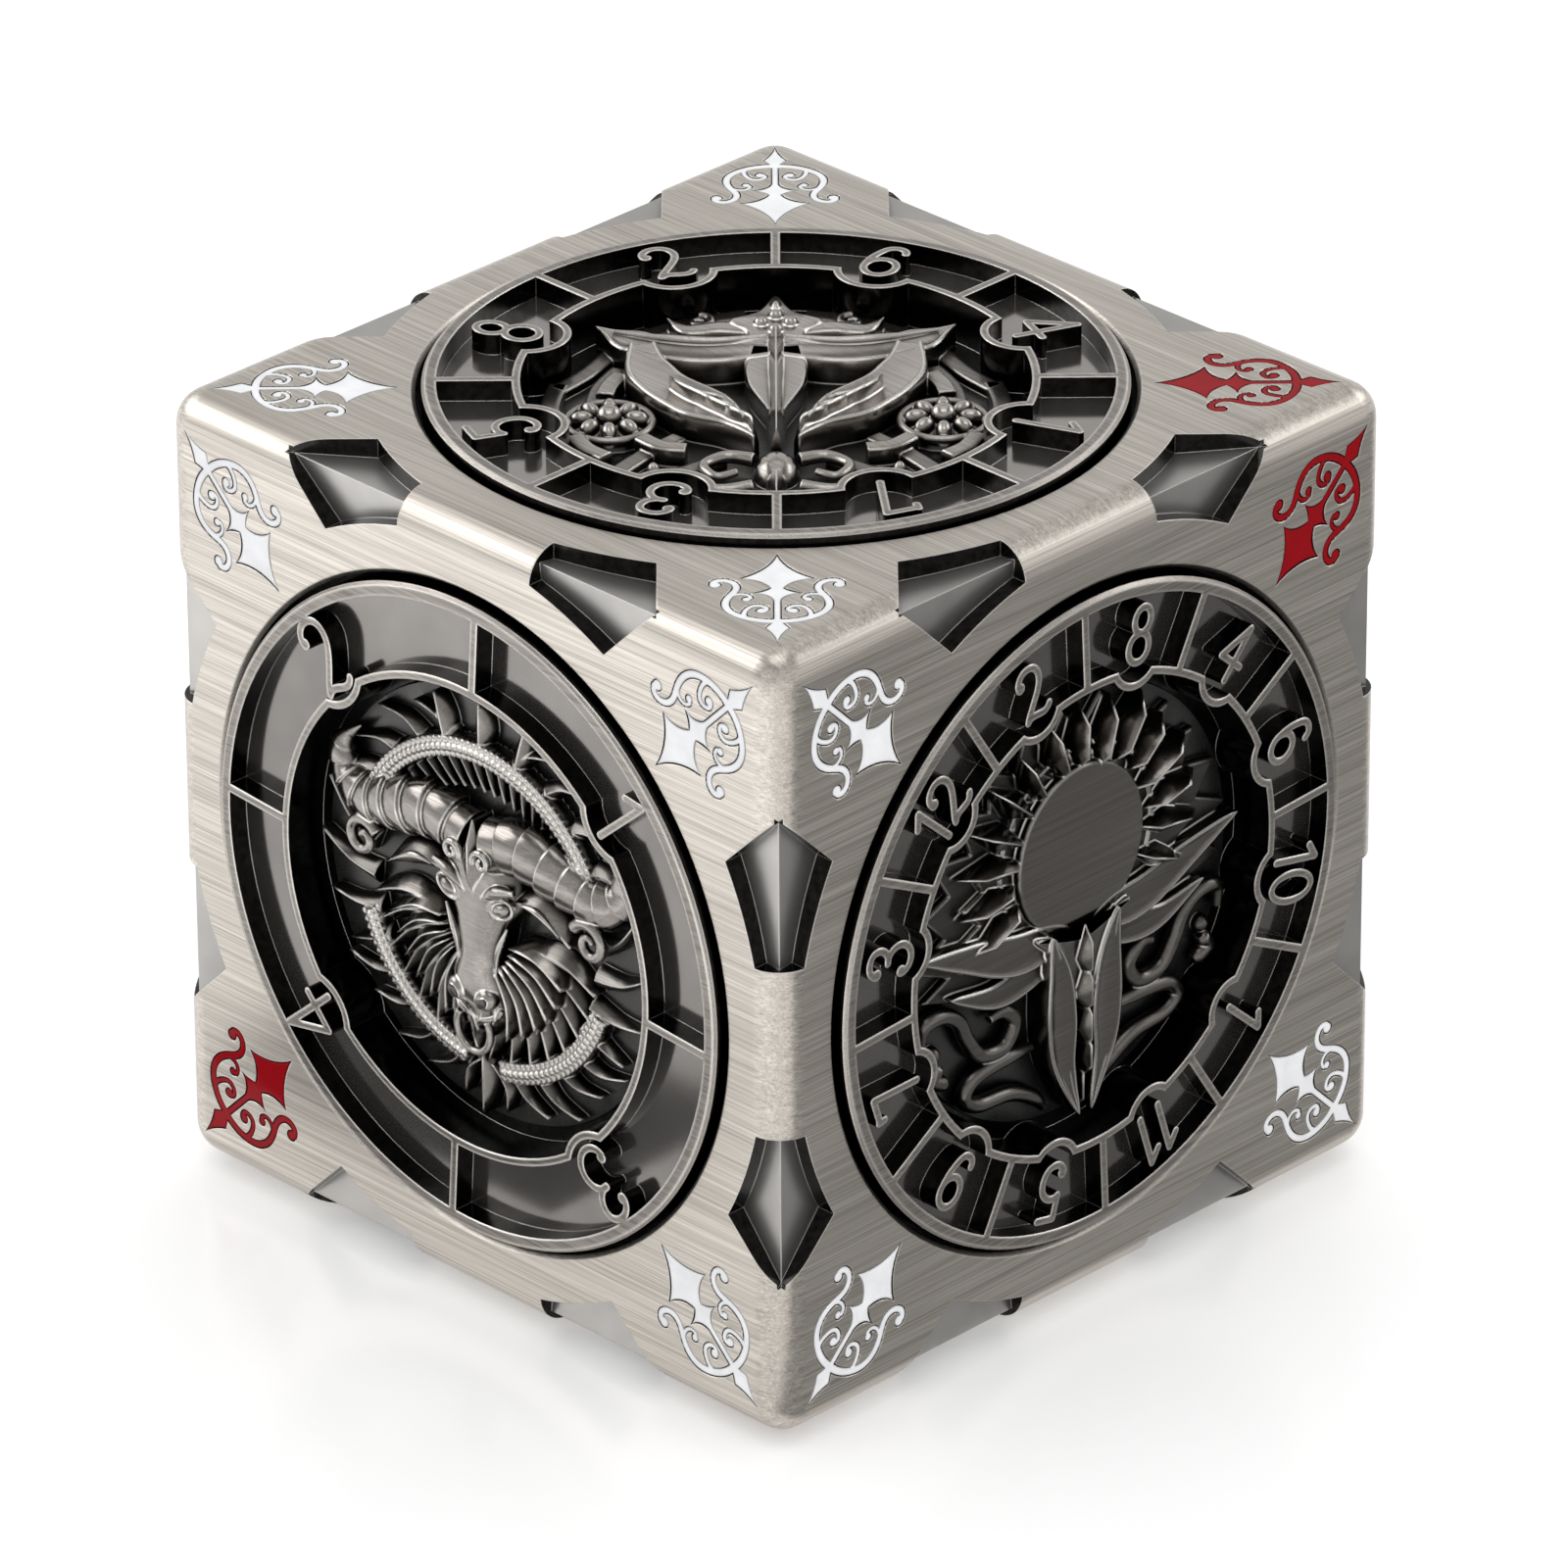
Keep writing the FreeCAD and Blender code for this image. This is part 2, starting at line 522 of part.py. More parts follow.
def horned_beast():
    horn = [(0.3, 3.6), (-2.2, 3.0), (-5.0, 2.1), (-7.4, 2.2), (-8.3, 4.0), (-7.6, 6.4)]
    horns = both_sides([band(horn, 2.9, 0.3)])
    ring = [spot(0, 0, 8.2).cut(spot(0, 0, 7.1))]
    head = [outline([((-3.2, 2.6), None), ((3.2, 2.6), (3.5, -1.0)), ((2.0, -4.2), None), ((0, -6.2), None),
                     ((-2.0, -4.2), (-3.5, -1.0))])]
    ruff = both_sides([outline([((-2.6, 1.5), None), ((-5.9, 1.2), (-5.2, -2.0)), ((-2.2, -4.6), None)])])
    snout = [spot(0, -0.2, 1.1)]
    curls = both_sides([spot(-6.1, 1.0, 0.85)])
    return (tier(ring, 0.7) + tier(spikes(22, 8.0, 9.3, 0.9, 8.0), 0.45) + tier(ruff, 0.7) + tier(head, 1.05)
            + tier(horns, 1.35) + tier(curls, 1.5) + tier(snout, 1.3))


def crystal_crown():
    orb = [spot(0, 2.9, 3.6)]
    collar = [outline([((-8.6, 0.7), (-4.0, 3.0)), ((0, 3.0), (4.0, 3.0)), ((8.6, 0.7), (4.6, -0.2)),
                       ((2.2, -3.2), None), ((-2.2, -3.2), (-4.6, -0.2))])]
    shards = []
    for i, angle in enumerate((-100, -84, -66, -48, -30, -14, 0, 14, 30, 48, 66, 84, 100)):
        shard = polygon([(0, 3.2), (0.42, 4.9), (0, 6.3 + 0.5 * (i % 2)), (-0.42, 4.9)])
        shard = turned(shard, angle)
        shard.translate(V(0, 2.3, 0))
        shards.append(shard)
    leaves = both_sides([outline([((-2.3, -0.7), (-0.3, -2.6)), ((-0.5, -8.2), (-2.2, -5.0))])])
    bud = [polygon([(0, -0.2), (0.7, -1.7), (0, -3.3), (-0.7, -1.7)])]
    tendrils = both_sides([
        band([(-2.3, -4.4), (-3.4, -5.0), (-4.8, -4.4), (-4.6, -2.9), (-5.6, -1.9), (-7.4, -1.9),
              (-8.2, -3.2)], 0.65),
        band([(-1.6, -7.6), (-2.7, -7.4), (-3.9, -6.6), (-5.6, -6.4)], 0.65),
        band([(-1.8, -3.4), (-2.9, -3.9), (-3.3, -2.9)], 0.6)])
    return (tier(collar, 0.75) + tier(orb, 1.0) + tier(shards, 1.3) + tier(leaves, 1.1) + tier(bud, 1.3)
            + tier(tendrils, 0.75))


def winged_crest():
    crest = both_sides([outline([((0, 8.3), None), ((-1.0, 6.6), (-2.4, 6.3)), ((-3.9, 6.9), None),
                                 ((-5.2, 5.6), (-4.0, 4.0)), ((-2.0, 3.3), None), ((0, 2.6), None)])])
    wing = outline([((-0.3, 3.2), (-3.4, 3.3)), ((-6.2, 1.2), None), ((-4.6, -1.4), None), ((-2.6, -3.4), None),
                    ((-0.3, -1.0), None)])
    hole = outline([((-0.9, 1.9), (-2.4, 2.0)), ((-3.3, 0.3), (-1.9, 0.3))])
    wings = both_sides([wing.cut(hole)])
    rosettes = both_sides([spot(-6.0, -2.6, 1.9)])
    scrolls = both_sides([
        band([(-0.4, -7.9), (-1.6, -7.8), (-2.4, -7.0), (-2.1, -6.1)], 0.5),
        band([(-1.6, -4.6), (-3.0, -5.2), (-4.4, -5.0), (-5.4, -5.8)], 0.7)])
    drop = [outline([((0, -4.0), (0.9, -5.6)), ((0, -6.6), (-0.9, -5.6))])]
    face = (tier(crest, 0.9) + tier(wings, 1.1) + tier(rosettes, 1.3) + tier(scrolls, 0.8) + tier(drop, 1.1)
            + tier([band([(0, 3.4), (0, 0.4), (0, -4.0)], 0.7)], 1.0))
    return [turned(solid, -45) for solid in face]


def compass_star():
    long_points = spikes(6, 0.2, 8.6, 2.6, 0.0)
    short_points = spikes(6, 0.2, 6.6, 1.9, 30.0)
    ring = [spot(0, 0, 5.2).cut(spot(0, 0, 4.6))]
    boss = [spot(0, 0, 2.1)]
    return tier(short_points, 0.7) + tier(ring, 0.9) + tier(long_points, 1.1) + tier(boss, 1.4)


def sun_burst():
    rays = spikes(10, 3.0, 8.7, 1.7, 0.0)
    flames = spikes(10, 3.0, 7.0, 1.2, 18.0)
    scrolls = [turned(band([(0, 4.3), (0.9, 4.9), (1.2, 5.9), (0.5, 6.3)], 0.4), 36 * i + 18) for i in range(10)]
    return tier(flames, 0.6) + tier(rays, 0.9) + tier(scrolls, 0.8) + tier([spot(0, 0, 3.9)], 1.25)


def laurel_gem():
    gem = [regular(6, 4.1)]
    table = [regular(3, 2.4)]
    leaf = outline([((0, 6.3), (0.65, 7.4)), ((0.2, 8.7), (-0.65, 7.5))])
    leaves = [turned(leaf, 15 * i) for i in range(24)]
    ring = [spot(0, 0, 6.5).cut(spot(0, 0, 6.0))]
    return tier(leaves, 0.6) + tier(ring, 0.9) + tier(gem, 1.0) + tier(table, 1.4)


MEDALLIONS = {"top": (winged_crest, 8.95), "front": (horned_beast, 9.5), "right": (crystal_crown, 9.4),
              "back": (laurel_gem, 9.6), "left": (compass_star, 9.1), "bottom": (sun_burst, 9.2)}


def medallion(name):
    draw, base_r = MEDALLIONS[name]
    base = disc(base_r, WELL_DEPTH, WELL_DEPTH - MEDAL_BASE)
    relief = [solid.common(disc(base_r, 3, -2)) for solid in draw()]
    spigot = disc(WEB_HOLE_R, WELL_DEPTH + MEDAL_SPIGOT, WELL_DEPTH)
    return base.fuse([spigot] + relief).removeSplitter()


# ---- export ----
def save(node, shape):
    shape.exportStep("parts/%s.step" % node)
    state = "valid" if shape.isValid() else "INVALID"
    print(node, state, len(shape.Solids), "solids", round(shape.Volume, 3))


def main():
    os.makedirs("parts", exist_ok=True)
    save("casing", casing())
    white, red = enamel()
    save("enamel_white", white)
    save("enamel_red", red)
    save("plate_screws", Part.makeCompound([face.place(s) for face in FACES for s in plate_screws()]))
    save("axle_screws", Part.makeCompound([face.place(axle_screw()) for face in FACES]))
    for face in FACES:
        name = face.name
        save("bearing_plate_" + name, face.place(bearing_plate()))
        save("inner_ring_" + name, face.place(inner_ring()))
        save("outer_ring_" + name, face.place(outer_ring()))
        save("balls_" + name, Part.makeCompound([face.place(ball) for ball in balls()]))
        save("cage_" + name, face.place(cage()))
        save("shields_" + name, Part.makeCompound([face.place(s) for s in shield_discs()]))
        save("dial_" + name, face.place(dial(DIALS[name])))
        save("medallion_" + name, face.place(medallion(name)))


main()
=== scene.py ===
"""Looks of the fidget cube: materials for its CAD nodes, cast relief medallions, studio and camera."""

import math
import random

import bmesh
import bpy
from mathutils import Matrix, Vector


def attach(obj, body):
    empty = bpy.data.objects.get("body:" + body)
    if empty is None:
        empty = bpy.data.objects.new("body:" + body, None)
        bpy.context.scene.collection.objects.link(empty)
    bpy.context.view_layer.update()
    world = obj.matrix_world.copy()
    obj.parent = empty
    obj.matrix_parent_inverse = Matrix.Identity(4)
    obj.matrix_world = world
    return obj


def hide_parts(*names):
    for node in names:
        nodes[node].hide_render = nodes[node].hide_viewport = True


# ---- sizes, repeated from the part's driving dimensions; millimetres ----
MM = 0.001
HALF = 17.5                 # half the casing
PROUD = 0.35                # dials stand out of the faces
CENTRE_Z = HALF + PROUD
EDGE_R = 1.5
FLOOR_DEPTH = 0.55
WELL_DEPTH = 1.6
MEDAL_BASE = 0.2
BASE_TOP = HALF - WELL_DEPTH + MEDAL_BASE       # the medallions' base surface, from the cube's centre
SPIGOT_R = 3.4
SPIGOT = 0.15
NOTCH_FLOOR = (0.45, 1.2)   # depths between which the edge notches' sloping floors lie
CHAMFERED = 0.3             # the pockets' chamfers end above this depth
SUNK = -0.05                # reliefs start this far below the base surface, so that nothing floats

# material slots of the casing and the dials, and of the reliefs
OUTSIDE, FLOOR, WALL = 0, 1, 2
CAST, WELL = 0, 1

# studio: sky strength that lights the floor, and in reflections near the horizon and overhead
SKY_ON_FLOOR, SKY_LOW, SKY_HIGH = 0.85, 0.8, 0.12
FLOOR_GLOW = 0.28           # light of the floor's own, which keeps shadows faint
FLOOR_LOW = 0.02            # millimetres from the cube down to the floor, so that the two don't flicker

# brightness of each seen dial's rim tops and of its sector floors, and of the hidden ones'; the seen dials'
# values are painted light, each dial made lighter or darker to match how the light falls on its face
DIAL_PAINTED_LIGHT = {"top": (0.42, 0.34), "front": (0.36, 0.235), "right": (0.52, 0.20)}
HIDDEN_SHADES = (0.42, 0.3)

# camera: degrees, and its distance from the cube's centre in half casings
AZIMUTH, ELEVATION, ROLL = 45.007, 27.629, -0.337
DISTANCE = 28.841
SENSOR, LENS = 36, 284.003
SHIFT_X, SHIFT_Y = 0.00358, -0.00828

# each face's own right and up, as directions of the row frame
FACES = {
    "top": ((1, 0, 0), (0, 1, 0)),
    "front": ((1, 0, 0), (0, 0, 1)),
    "right": ((0, 1, 0), (0, 0, 1)),
    "back": ((-1, 0, 0), (0, 0, 1)),
    "left": ((0, -1, 0), (0, 0, 1)),
    "bottom": ((1, 0, 0), (0, -1, 0)),
}


def face_matrix(name):
    """From a face's own millimetres, +Z outwards about the cube's centre, to the row frame in metres."""
    u, v = (Vector(axis) for axis in FACES[name])
    n = u.cross(v)
    turn = Matrix((u, v, n)).transposed().to_4x4()
    return Matrix.Translation((0, 0, CENTRE_Z * MM)) @ turn @ Matrix.Scale(MM, 4)


# ---------------------------------------------------------------- materials
class Nodes:
    """A small helper that builds a material's node tree."""

    def __init__(self, name):
        self.material = bpy.data.materials.new(name)
        self.material.use_nodes = True
        self.tree = self.material.node_tree
        self.shader = self.tree.nodes["Principled BSDF"]

    def add(self, kind, inputs=None, **settings):
        node = self.tree.nodes.new(kind)
        for key, value in settings.items():
            setattr(node, key, value)
        for key, value in (inputs or {}).items():
            self.feed(node.inputs[key], value)
        return node

    def feed(self, socket, value):
        if isinstance(value, bpy.types.NodeSocket):
            self.tree.links.new(value, socket)
        else:
            socket.default_value = value

    def math(self, operation, a, b=0.0, clamp=False):
        node = self.add("ShaderNodeMath", {0: a, 1: b}, operation=operation, use_clamp=clamp)
        return node.outputs[0]

    def spread(self, value, low, high, to_low=0.0, to_high=1.0):
        node = self.add("ShaderNodeMapRange", {"Value": value, "From Min": low, "From Max": high,
                                               "To Min": to_low, "To Max": to_high})
        return node.outputs["Result"]

    def mix(self, factor, a, b):
        node = self.add("ShaderNodeMix", data_type="RGBA")
        self.feed(node.inputs["Factor"], factor)
        self.feed(node.inputs["A"], a)
        self.feed(node.inputs["B"], b)
        return node.outputs["Result"]

    def noise(self, scale, detail=3.0, roughness=0.55, stretch=(1, 1, 1)):
        """Noise whose features are about 1 / scale millimetres, stretched along each axis."""
        place = self.add("ShaderNodeTexCoord").outputs["Object"]
        mapping = self.add("ShaderNodeMapping", {"Vector": place,
                                                 "Scale": tuple(1000 * scale / s for s in stretch)})
        node = self.add("ShaderNodeTexNoise", {"Vector": mapping.outputs["Vector"], "Scale": 1.0,
                                               "Detail": detail, "Roughness": roughness})
        return node.outputs["Fac"]

    def soft_normal(self, radius_mm):
        return self.add("ShaderNodeBevel", {"Radius": radius_mm * MM}, samples=4).outputs["Normal"]

    def edge_mask(self, normal, gain):
        """Near 1 on sharp edges and 0 on flat stretches, from the rounded and the true normal."""
        true = self.add("ShaderNodeNewGeometry").outputs["Normal"]
        dot = self.add("ShaderNodeVectorMath", {0: normal, 1: true}, operation="DOT_PRODUCT")
        return self.math("MULTIPLY", self.math("SUBTRACT", 1.0, dot.outputs["Value"]), gain, clamp=True)

    def hollow(self, distance_mm):
        """1 in the open and 0 deep in a corner."""
        node = self.add("ShaderNodeAmbientOcclusion", {"Distance": distance_mm * MM}, samples=8)
        return node.outputs["AO"]

    def bump(self, height, strength, distance_mm, normal=None):
        node = self.add("ShaderNodeBump", {"Strength": strength, "Distance": distance_mm * MM,
                                           "Height": height})
        if normal is not None:
            self.feed(node.inputs["Normal"], normal)
        return node.outputs["Normal"]

    def finish(self, **inputs):
        """Feeds the shader by short names and gives back the material."""
        names = {"color": "Base Color", "metallic": "Metallic", "roughness": "Roughness",
                 "normal": "Normal", "specular": "Specular IOR Level"}
        for key, value in inputs.items():
            self.feed(self.shader.inputs[names[key]], value)
        return self.material


def toned(color, factor):
    """A colour made darker or brighter, with its alpha."""
    return tuple(factor * part for part in color[:3]) + (1,)


def brush_lines(n, axis):
    """Fine brushed streaks along one axis: a mix of long hair lines and broader bands."""
    def stretch(length):
        return tuple(length if i == axis else 1 for i in range(3))
    hair = n.noise(15.0, detail=4.0, roughness=0.7, stretch=stretch(170))
    bands = n.noise(4.5, detail=3.0, roughness=0.6, stretch=stretch(120))
    return n.math("ADD", n.math("MULTIPLY", hair, 0.72), n.math("MULTIPLY", bands, 0.28))


def side_choice(n):
    """1 where the surface faces along X, where the brushing runs along Y instead of X."""
    normal = n.add("ShaderNodeNewGeometry").outputs["Normal"]
    parts = n.add("ShaderNodeSeparateXYZ", {"Vector": normal})
    return n.spread(n.math("ABSOLUTE", parts.outputs["X"]), 0.62, 0.80)


def brushing(n):
    """Brushed streaks over the whole cube, along Y on the sides that face X and along X elsewhere."""
    factor, along_x, along_y = side_choice(n), brush_lines(n, 0), brush_lines(n, 1)
    node = n.add("ShaderNodeMix", data_type="FLOAT")
    n.feed(node.inputs["Factor"], factor)
    n.feed(node.inputs["A"], along_x)
    n.feed(node.inputs["B"], along_y)
    return node.outputs["Result"]


def brushed_nickel():
    """Casing faces: warm antique nickel, brushed, with bright edges, partly worn metal and partly a painted
    highlight.
    """
    n = Nodes("brushed_nickel")
    streaks = brushing(n)
    tone = n.spread(streaks, 0.36, 0.64)
    soft = n.soft_normal(0.12)
    # edges lightened: worn metal and a painted highlight
    wear_and_highlight = n.edge_mask(soft, 5.0)
    color = n.mix(tone, (0.36, 0.328, 0.290, 1), (0.72, 0.672, 0.612, 1))
    color = n.mix(wear_and_highlight, color, (0.74, 0.70, 0.65, 1))
    roughness = n.spread(streaks, 0.3, 0.7, 0.30, 0.40)
    return n.finish(color=color, metallic=1.0, roughness=roughness,
                    normal=n.bump(streaks, 0.35, 0.012, soft))


def dial_top_metal(name, bright):
    """Tops of rims, spokes and numerals: brushed through to bright metal whose tone is set per face as
    painted light, brightest on the edges, where worn metal and a painted highlight mix.
    """
    n = Nodes("dial_top_metal_" + name)
    streaks = brushing(n)
    soft = n.soft_normal(0.2)
    # edges lightened: worn metal and a painted highlight
    wear_and_highlight = n.edge_mask(soft, 9.0)
    # tone set per face: painted light
    worn_and_lit_tone = toned((1, 0.92, 0.84), bright)
    color = n.mix(n.spread(streaks, 0.35, 0.65), toned(worn_and_lit_tone, 0.36), worn_and_lit_tone)
    color = n.mix(wear_and_highlight, color, (0.95, 0.91, 0.86, 1))
    roughness = n.spread(streaks, 0.3, 0.7, 0.28, 0.38)
    return n.finish(color=color, metallic=1.0, roughness=roughness,
                    normal=n.bump(streaks, 0.3, 0.01, soft))


def floor_metal(name, color, roughness):
    """Smooth dark plated floors of the dial sectors and of the edge notches."""
    n = Nodes(name)
    mottle = n.noise(0.35, detail=2.0)
    soft = n.soft_normal(0.08)
    # edges of the floors lightened: worn metal and a painted highlight
    wear_and_highlight = n.edge_mask(soft, 3.0)
    base = n.mix(n.spread(mottle, 0.35, 0.65), toned(color, 0.86), color)
    base = n.mix(wear_and_highlight, base, (0.62, 0.60, 0.57, 1))
    return n.finish(color=base, metallic=0.9, roughness=roughness,
                    normal=n.bump(n.noise(3.0, detail=2.0), 0.04, 0.01, soft))


def wall_metal():
    """Steep walls and deep grooves: glossy black nickel with a thin lighter line on its upper edge, partly
    worn metal and partly a painted highlight.
    """
    n = Nodes("wall_metal")
    soft = n.soft_normal(0.06)
    # upper edge lightened: worn metal and a painted highlight
    wear_and_highlight = n.edge_mask(soft, 2.5)
    streaks = n.noise(3.0, detail=3.0)
    color = n.mix(n.spread(streaks, 0.3, 0.7), (0.012, 0.0117, 0.0112, 1), (0.036, 0.035, 0.033, 1))
    color = n.mix(wear_and_highlight, color, (0.55, 0.53, 0.50, 1))
    return n.finish(color=color, metallic=1.0, roughness=0.2, normal=soft)


def relief_metal(name, bright):
    """Cast relief: black in the hollows, partly patina and partly painted shade from ambient occlusion;
    lighter on the high forms, which are worn bright; tone set per face as painted light; edges lightened as
    worn metal and as a painted highlight.
    """
    n = Nodes("relief_metal_" + name)
    open_part = n.hollow(0.9)
    soft = n.soft_normal(0.13)
    height = n.add("ShaderNodeAttribute", attribute_name="relief_height").outputs["Fac"]
    # edges lightened, more on the high forms: worn metal and a painted highlight
    wear_and_highlight = n.math("MULTIPLY", n.edge_mask(soft, 15.0), n.spread(height, 0.2, 0.9, 0.3, 1.0))
    streaks = brushing(n)
    # black in the hollows: patina, and painted shade from ambient occlusion
    lit, raised = n.spread(open_part, 0.35, 0.95), n.spread(height, 0.0, 1.0, 0.15, 1.0)
    shade = n.math("MULTIPLY", lit, raised, clamp=True)
    # tone set per face: painted light
    worn_and_lit_tone = toned((1, 0.93, 0.86), bright)
    streaked = n.mix(n.spread(streaks, 0.4, 0.6), toned(worn_and_lit_tone, 0.7), worn_and_lit_tone)
    color = n.mix(shade, (0.006, 0.0058, 0.0055, 1), streaked)
    color = n.mix(n.math("MULTIPLY", wear_and_highlight, 0.9), color, (0.86, 0.83, 0.79, 1))
    roughness = n.spread(shade, 0.0, 1.0, 0.3, 0.17)
    return n.finish(color=color, metallic=1.0, roughness=roughness,
                    normal=n.bump(streaks, 0.25, 0.012, soft))


def medal_floor_metal():
    """Floor of the wells around the relief: dark, smooth, with a sheen, and darker still next to the relief,
    where ambient occlusion paints shade.
    """
    n = Nodes("medal_floor_metal")
    # painted shade: darker where the relief hides the floor
    open_part = n.spread(n.hollow(1.5), 0.3, 1.0)
    mottle = n.noise(1.2, detail=3.0)
    color = n.mix(open_part, (0.012, 0.012, 0.012, 1), (0.10, 0.097, 0.094, 1))
    return n.finish(color=color, metallic=0.9, roughness=n.spread(mottle, 0.3, 0.7, 0.22, 0.32),
                    normal=n.bump(mottle, 0.1, 0.02))


def enamel(name, color, deep):
    """Glossy enamel fill with slight clouding and a darker line where it meets the metal."""
    n = Nodes(name)
    cloud = n.noise(0.9, detail=2.0)
    soft = n.soft_normal(0.12)
    rim = n.edge_mask(soft, 3.0)
    base = n.mix(n.spread(cloud, 0.3, 0.7), toned(color, 0.88), color)
    base = n.mix(n.math("MULTIPLY", rim, 0.75), base, deep)
    return n.finish(color=base, roughness=0.12, specular=0.08, normal=n.bump(cloud, 0.25, 0.05, soft))


def machined(name, color, roughness):
    """Turned or stamped inner pieces."""
    n = Nodes(name)
    rings = n.noise(4.0, detail=3.0)
    return n.finish(color=n.mix(rings, toned(color, 0.8), color), metallic=1.0,
                    roughness=n.spread(rings, 0.3, 0.7, roughness * 0.8, roughness * 1.2))


# ---------------------------------------------------------------- CAD nodes
def assign(obj, materials, choose):
    """Gives a CAD node its materials and picks one for each polygon."""
    obj.data.materials.clear()
    for material in materials:
        obj.data.materials.append(material)
    for polygon in obj.data.polygons:
        polygon.material_index = choose(polygon)


def casing_part(polygon):
    """Brushed outside, notch floor, or wall and inside, for one of the casing's polygons."""
    centre = Vector(polygon.center) / MM - Vector((0, 0, CENTRE_Z))
    normal = polygon.normal
    outside = rounded_box_distance(centre)
    if abs(outside) < 0.03 and normal.dot(centre) > 0:
        return OUTSIDE
    k = max(range(3), key=lambda i: abs(centre[i]))
    depth = HALF - abs(centre[k])
    facing = normal[k] * math.copysign(1, centre[k])
    if facing > 0.97 and NOTCH_FLOOR[0] < depth < NOTCH_FLOOR[1]:
        return FLOOR
    if 0.3 < facing < 0.9 and depth < CHAMFERED:
        return OUTSIDE
    return WALL


def rounded_box_distance(p):
    """How far a point is outside the casing's rounded box; negative inside it."""
    q = [abs(c) - (HALF - EDGE_R) for c in p]
    outside = Vector([max(c, 0.0) for c in q]).length
    return outside + min(max(q), 0.0) - EDGE_R


def dial_part(name):
    """A chooser of bright top, sector floor or wall for one dial's polygons."""
    to_face = face_matrix(name).inverted()
    turn = to_face.to_3x3().normalized()

    def choose(polygon):
        z = (to_face @ polygon.center).z
        facing = (turn @ polygon.normal).z
        if facing > 0.3 and z > HALF:
            return OUTSIDE
        if facing > 0.9 and abs(z - (HALF - FLOOR_DEPTH)) < 0.1:
            return FLOOR
        return WALL
    return choose


def sharpen(obj, degrees=30):
    """Smooth shading that breaks at real edges. It changes no vertex."""
    for polygon in obj.data.polygons:
        polygon.use_smooth = True
    obj.data.set_sharp_from_angle(angle=math.radians(degrees))


def add_object(name, data):
    """A new object in the scene."""
    obj = bpy.data.objects.new(name, data)
    bpy.context.scene.collection.objects.link(obj)
    return obj


# ---------------------------------------------------------------- relief modelling
def smooth_line(points, per=8, closed=False):
    """Catmull-Rom line through points of any dimension."""
    pts = [Vector(p) for p in points]
    count = len(pts)
    line = []
    spans = count if closed else count - 1
    for i in range(spans):
        if closed:
            a, b, c, d = (pts[(i + k) % count] for k in (-1, 0, 1, 2))
        else:
            a, b, c, d = (pts[min(max(i + k, 0), count - 1)] for k in (-1, 0, 1, 2))
        for j in range(per):
            t = j / per
            line.append(0.5 * ((2 * b) + (c - a) * t + (2 * a - 5 * b + 4 * c - d) * t ** 2
                               + (3 * b - a - 3 * c + d) * t ** 3))
    if not closed:
        line.append(pts[-1].copy())
    return line


def flip(points):
    """Mirror left to right."""
    return [(-p[0],) + tuple(p[1:]) for p in points]


def mirrored(sign):
    """What takes a line drawn for the right-hand side to the side of this sign."""
    return flip if sign < 0 else lambda points: points


def at(points, z):
    """The same line at a given height."""
    return [(p[0], p[1], z) for p in points]


def polar(radius, degrees):
    """A point about the middle, anticlockwise from +X."""
    a = math.radians(degrees)
    return radius * math.cos(a), radius * math.sin(a)


def turn_points(points, degrees):
    """Turn clockwise about the middle."""
    a = math.radians(-degrees)
    c, s = math.cos(a), math.sin(a)
    return [(p[0] * c - p[1] * s, p[0] * s + p[1] * c) + tuple(p[2:]) for p in points]


def inset(points, distance):
    """A closed outline moved inwards."""
    pts = [Vector(p[:2]) for p in points]
    area = sum(a.x * b.y - b.x * a.y for a, b in zip(pts, pts[1:] + pts[:1]))
    side = 1 if area > 0 else -1
    moved = []
    for i, p in enumerate(pts):
        before = (p - pts[i - 1]).normalized()
        after = (pts[(i + 1) % len(pts)] - p).normalized()
        n1 = Vector((-before.y, before.x)) * side
        n2 = Vector((-after.y, after.x)) * side
        middle = n1 + n2
        if middle.length < 1e-6:
            middle = n1.copy()
        middle.normalize()
        reach = distance / max(0.5, middle.dot(n1))
        moved.append(p + middle * reach)
    return moved


def along(path):
    """For each point of a line: how far along it is, 0 to 1, the point, and the direction to its left."""
    pts = [Vector((p[0], p[1])) for p in path]
    last = len(pts) - 1
    for i, p in enumerate(pts):
        ahead = (pts[min(i + 1, last)] - pts[max(i - 1, 0)]).normalized()
        yield i / last, p, Vector((-ahead.y, ahead.x))


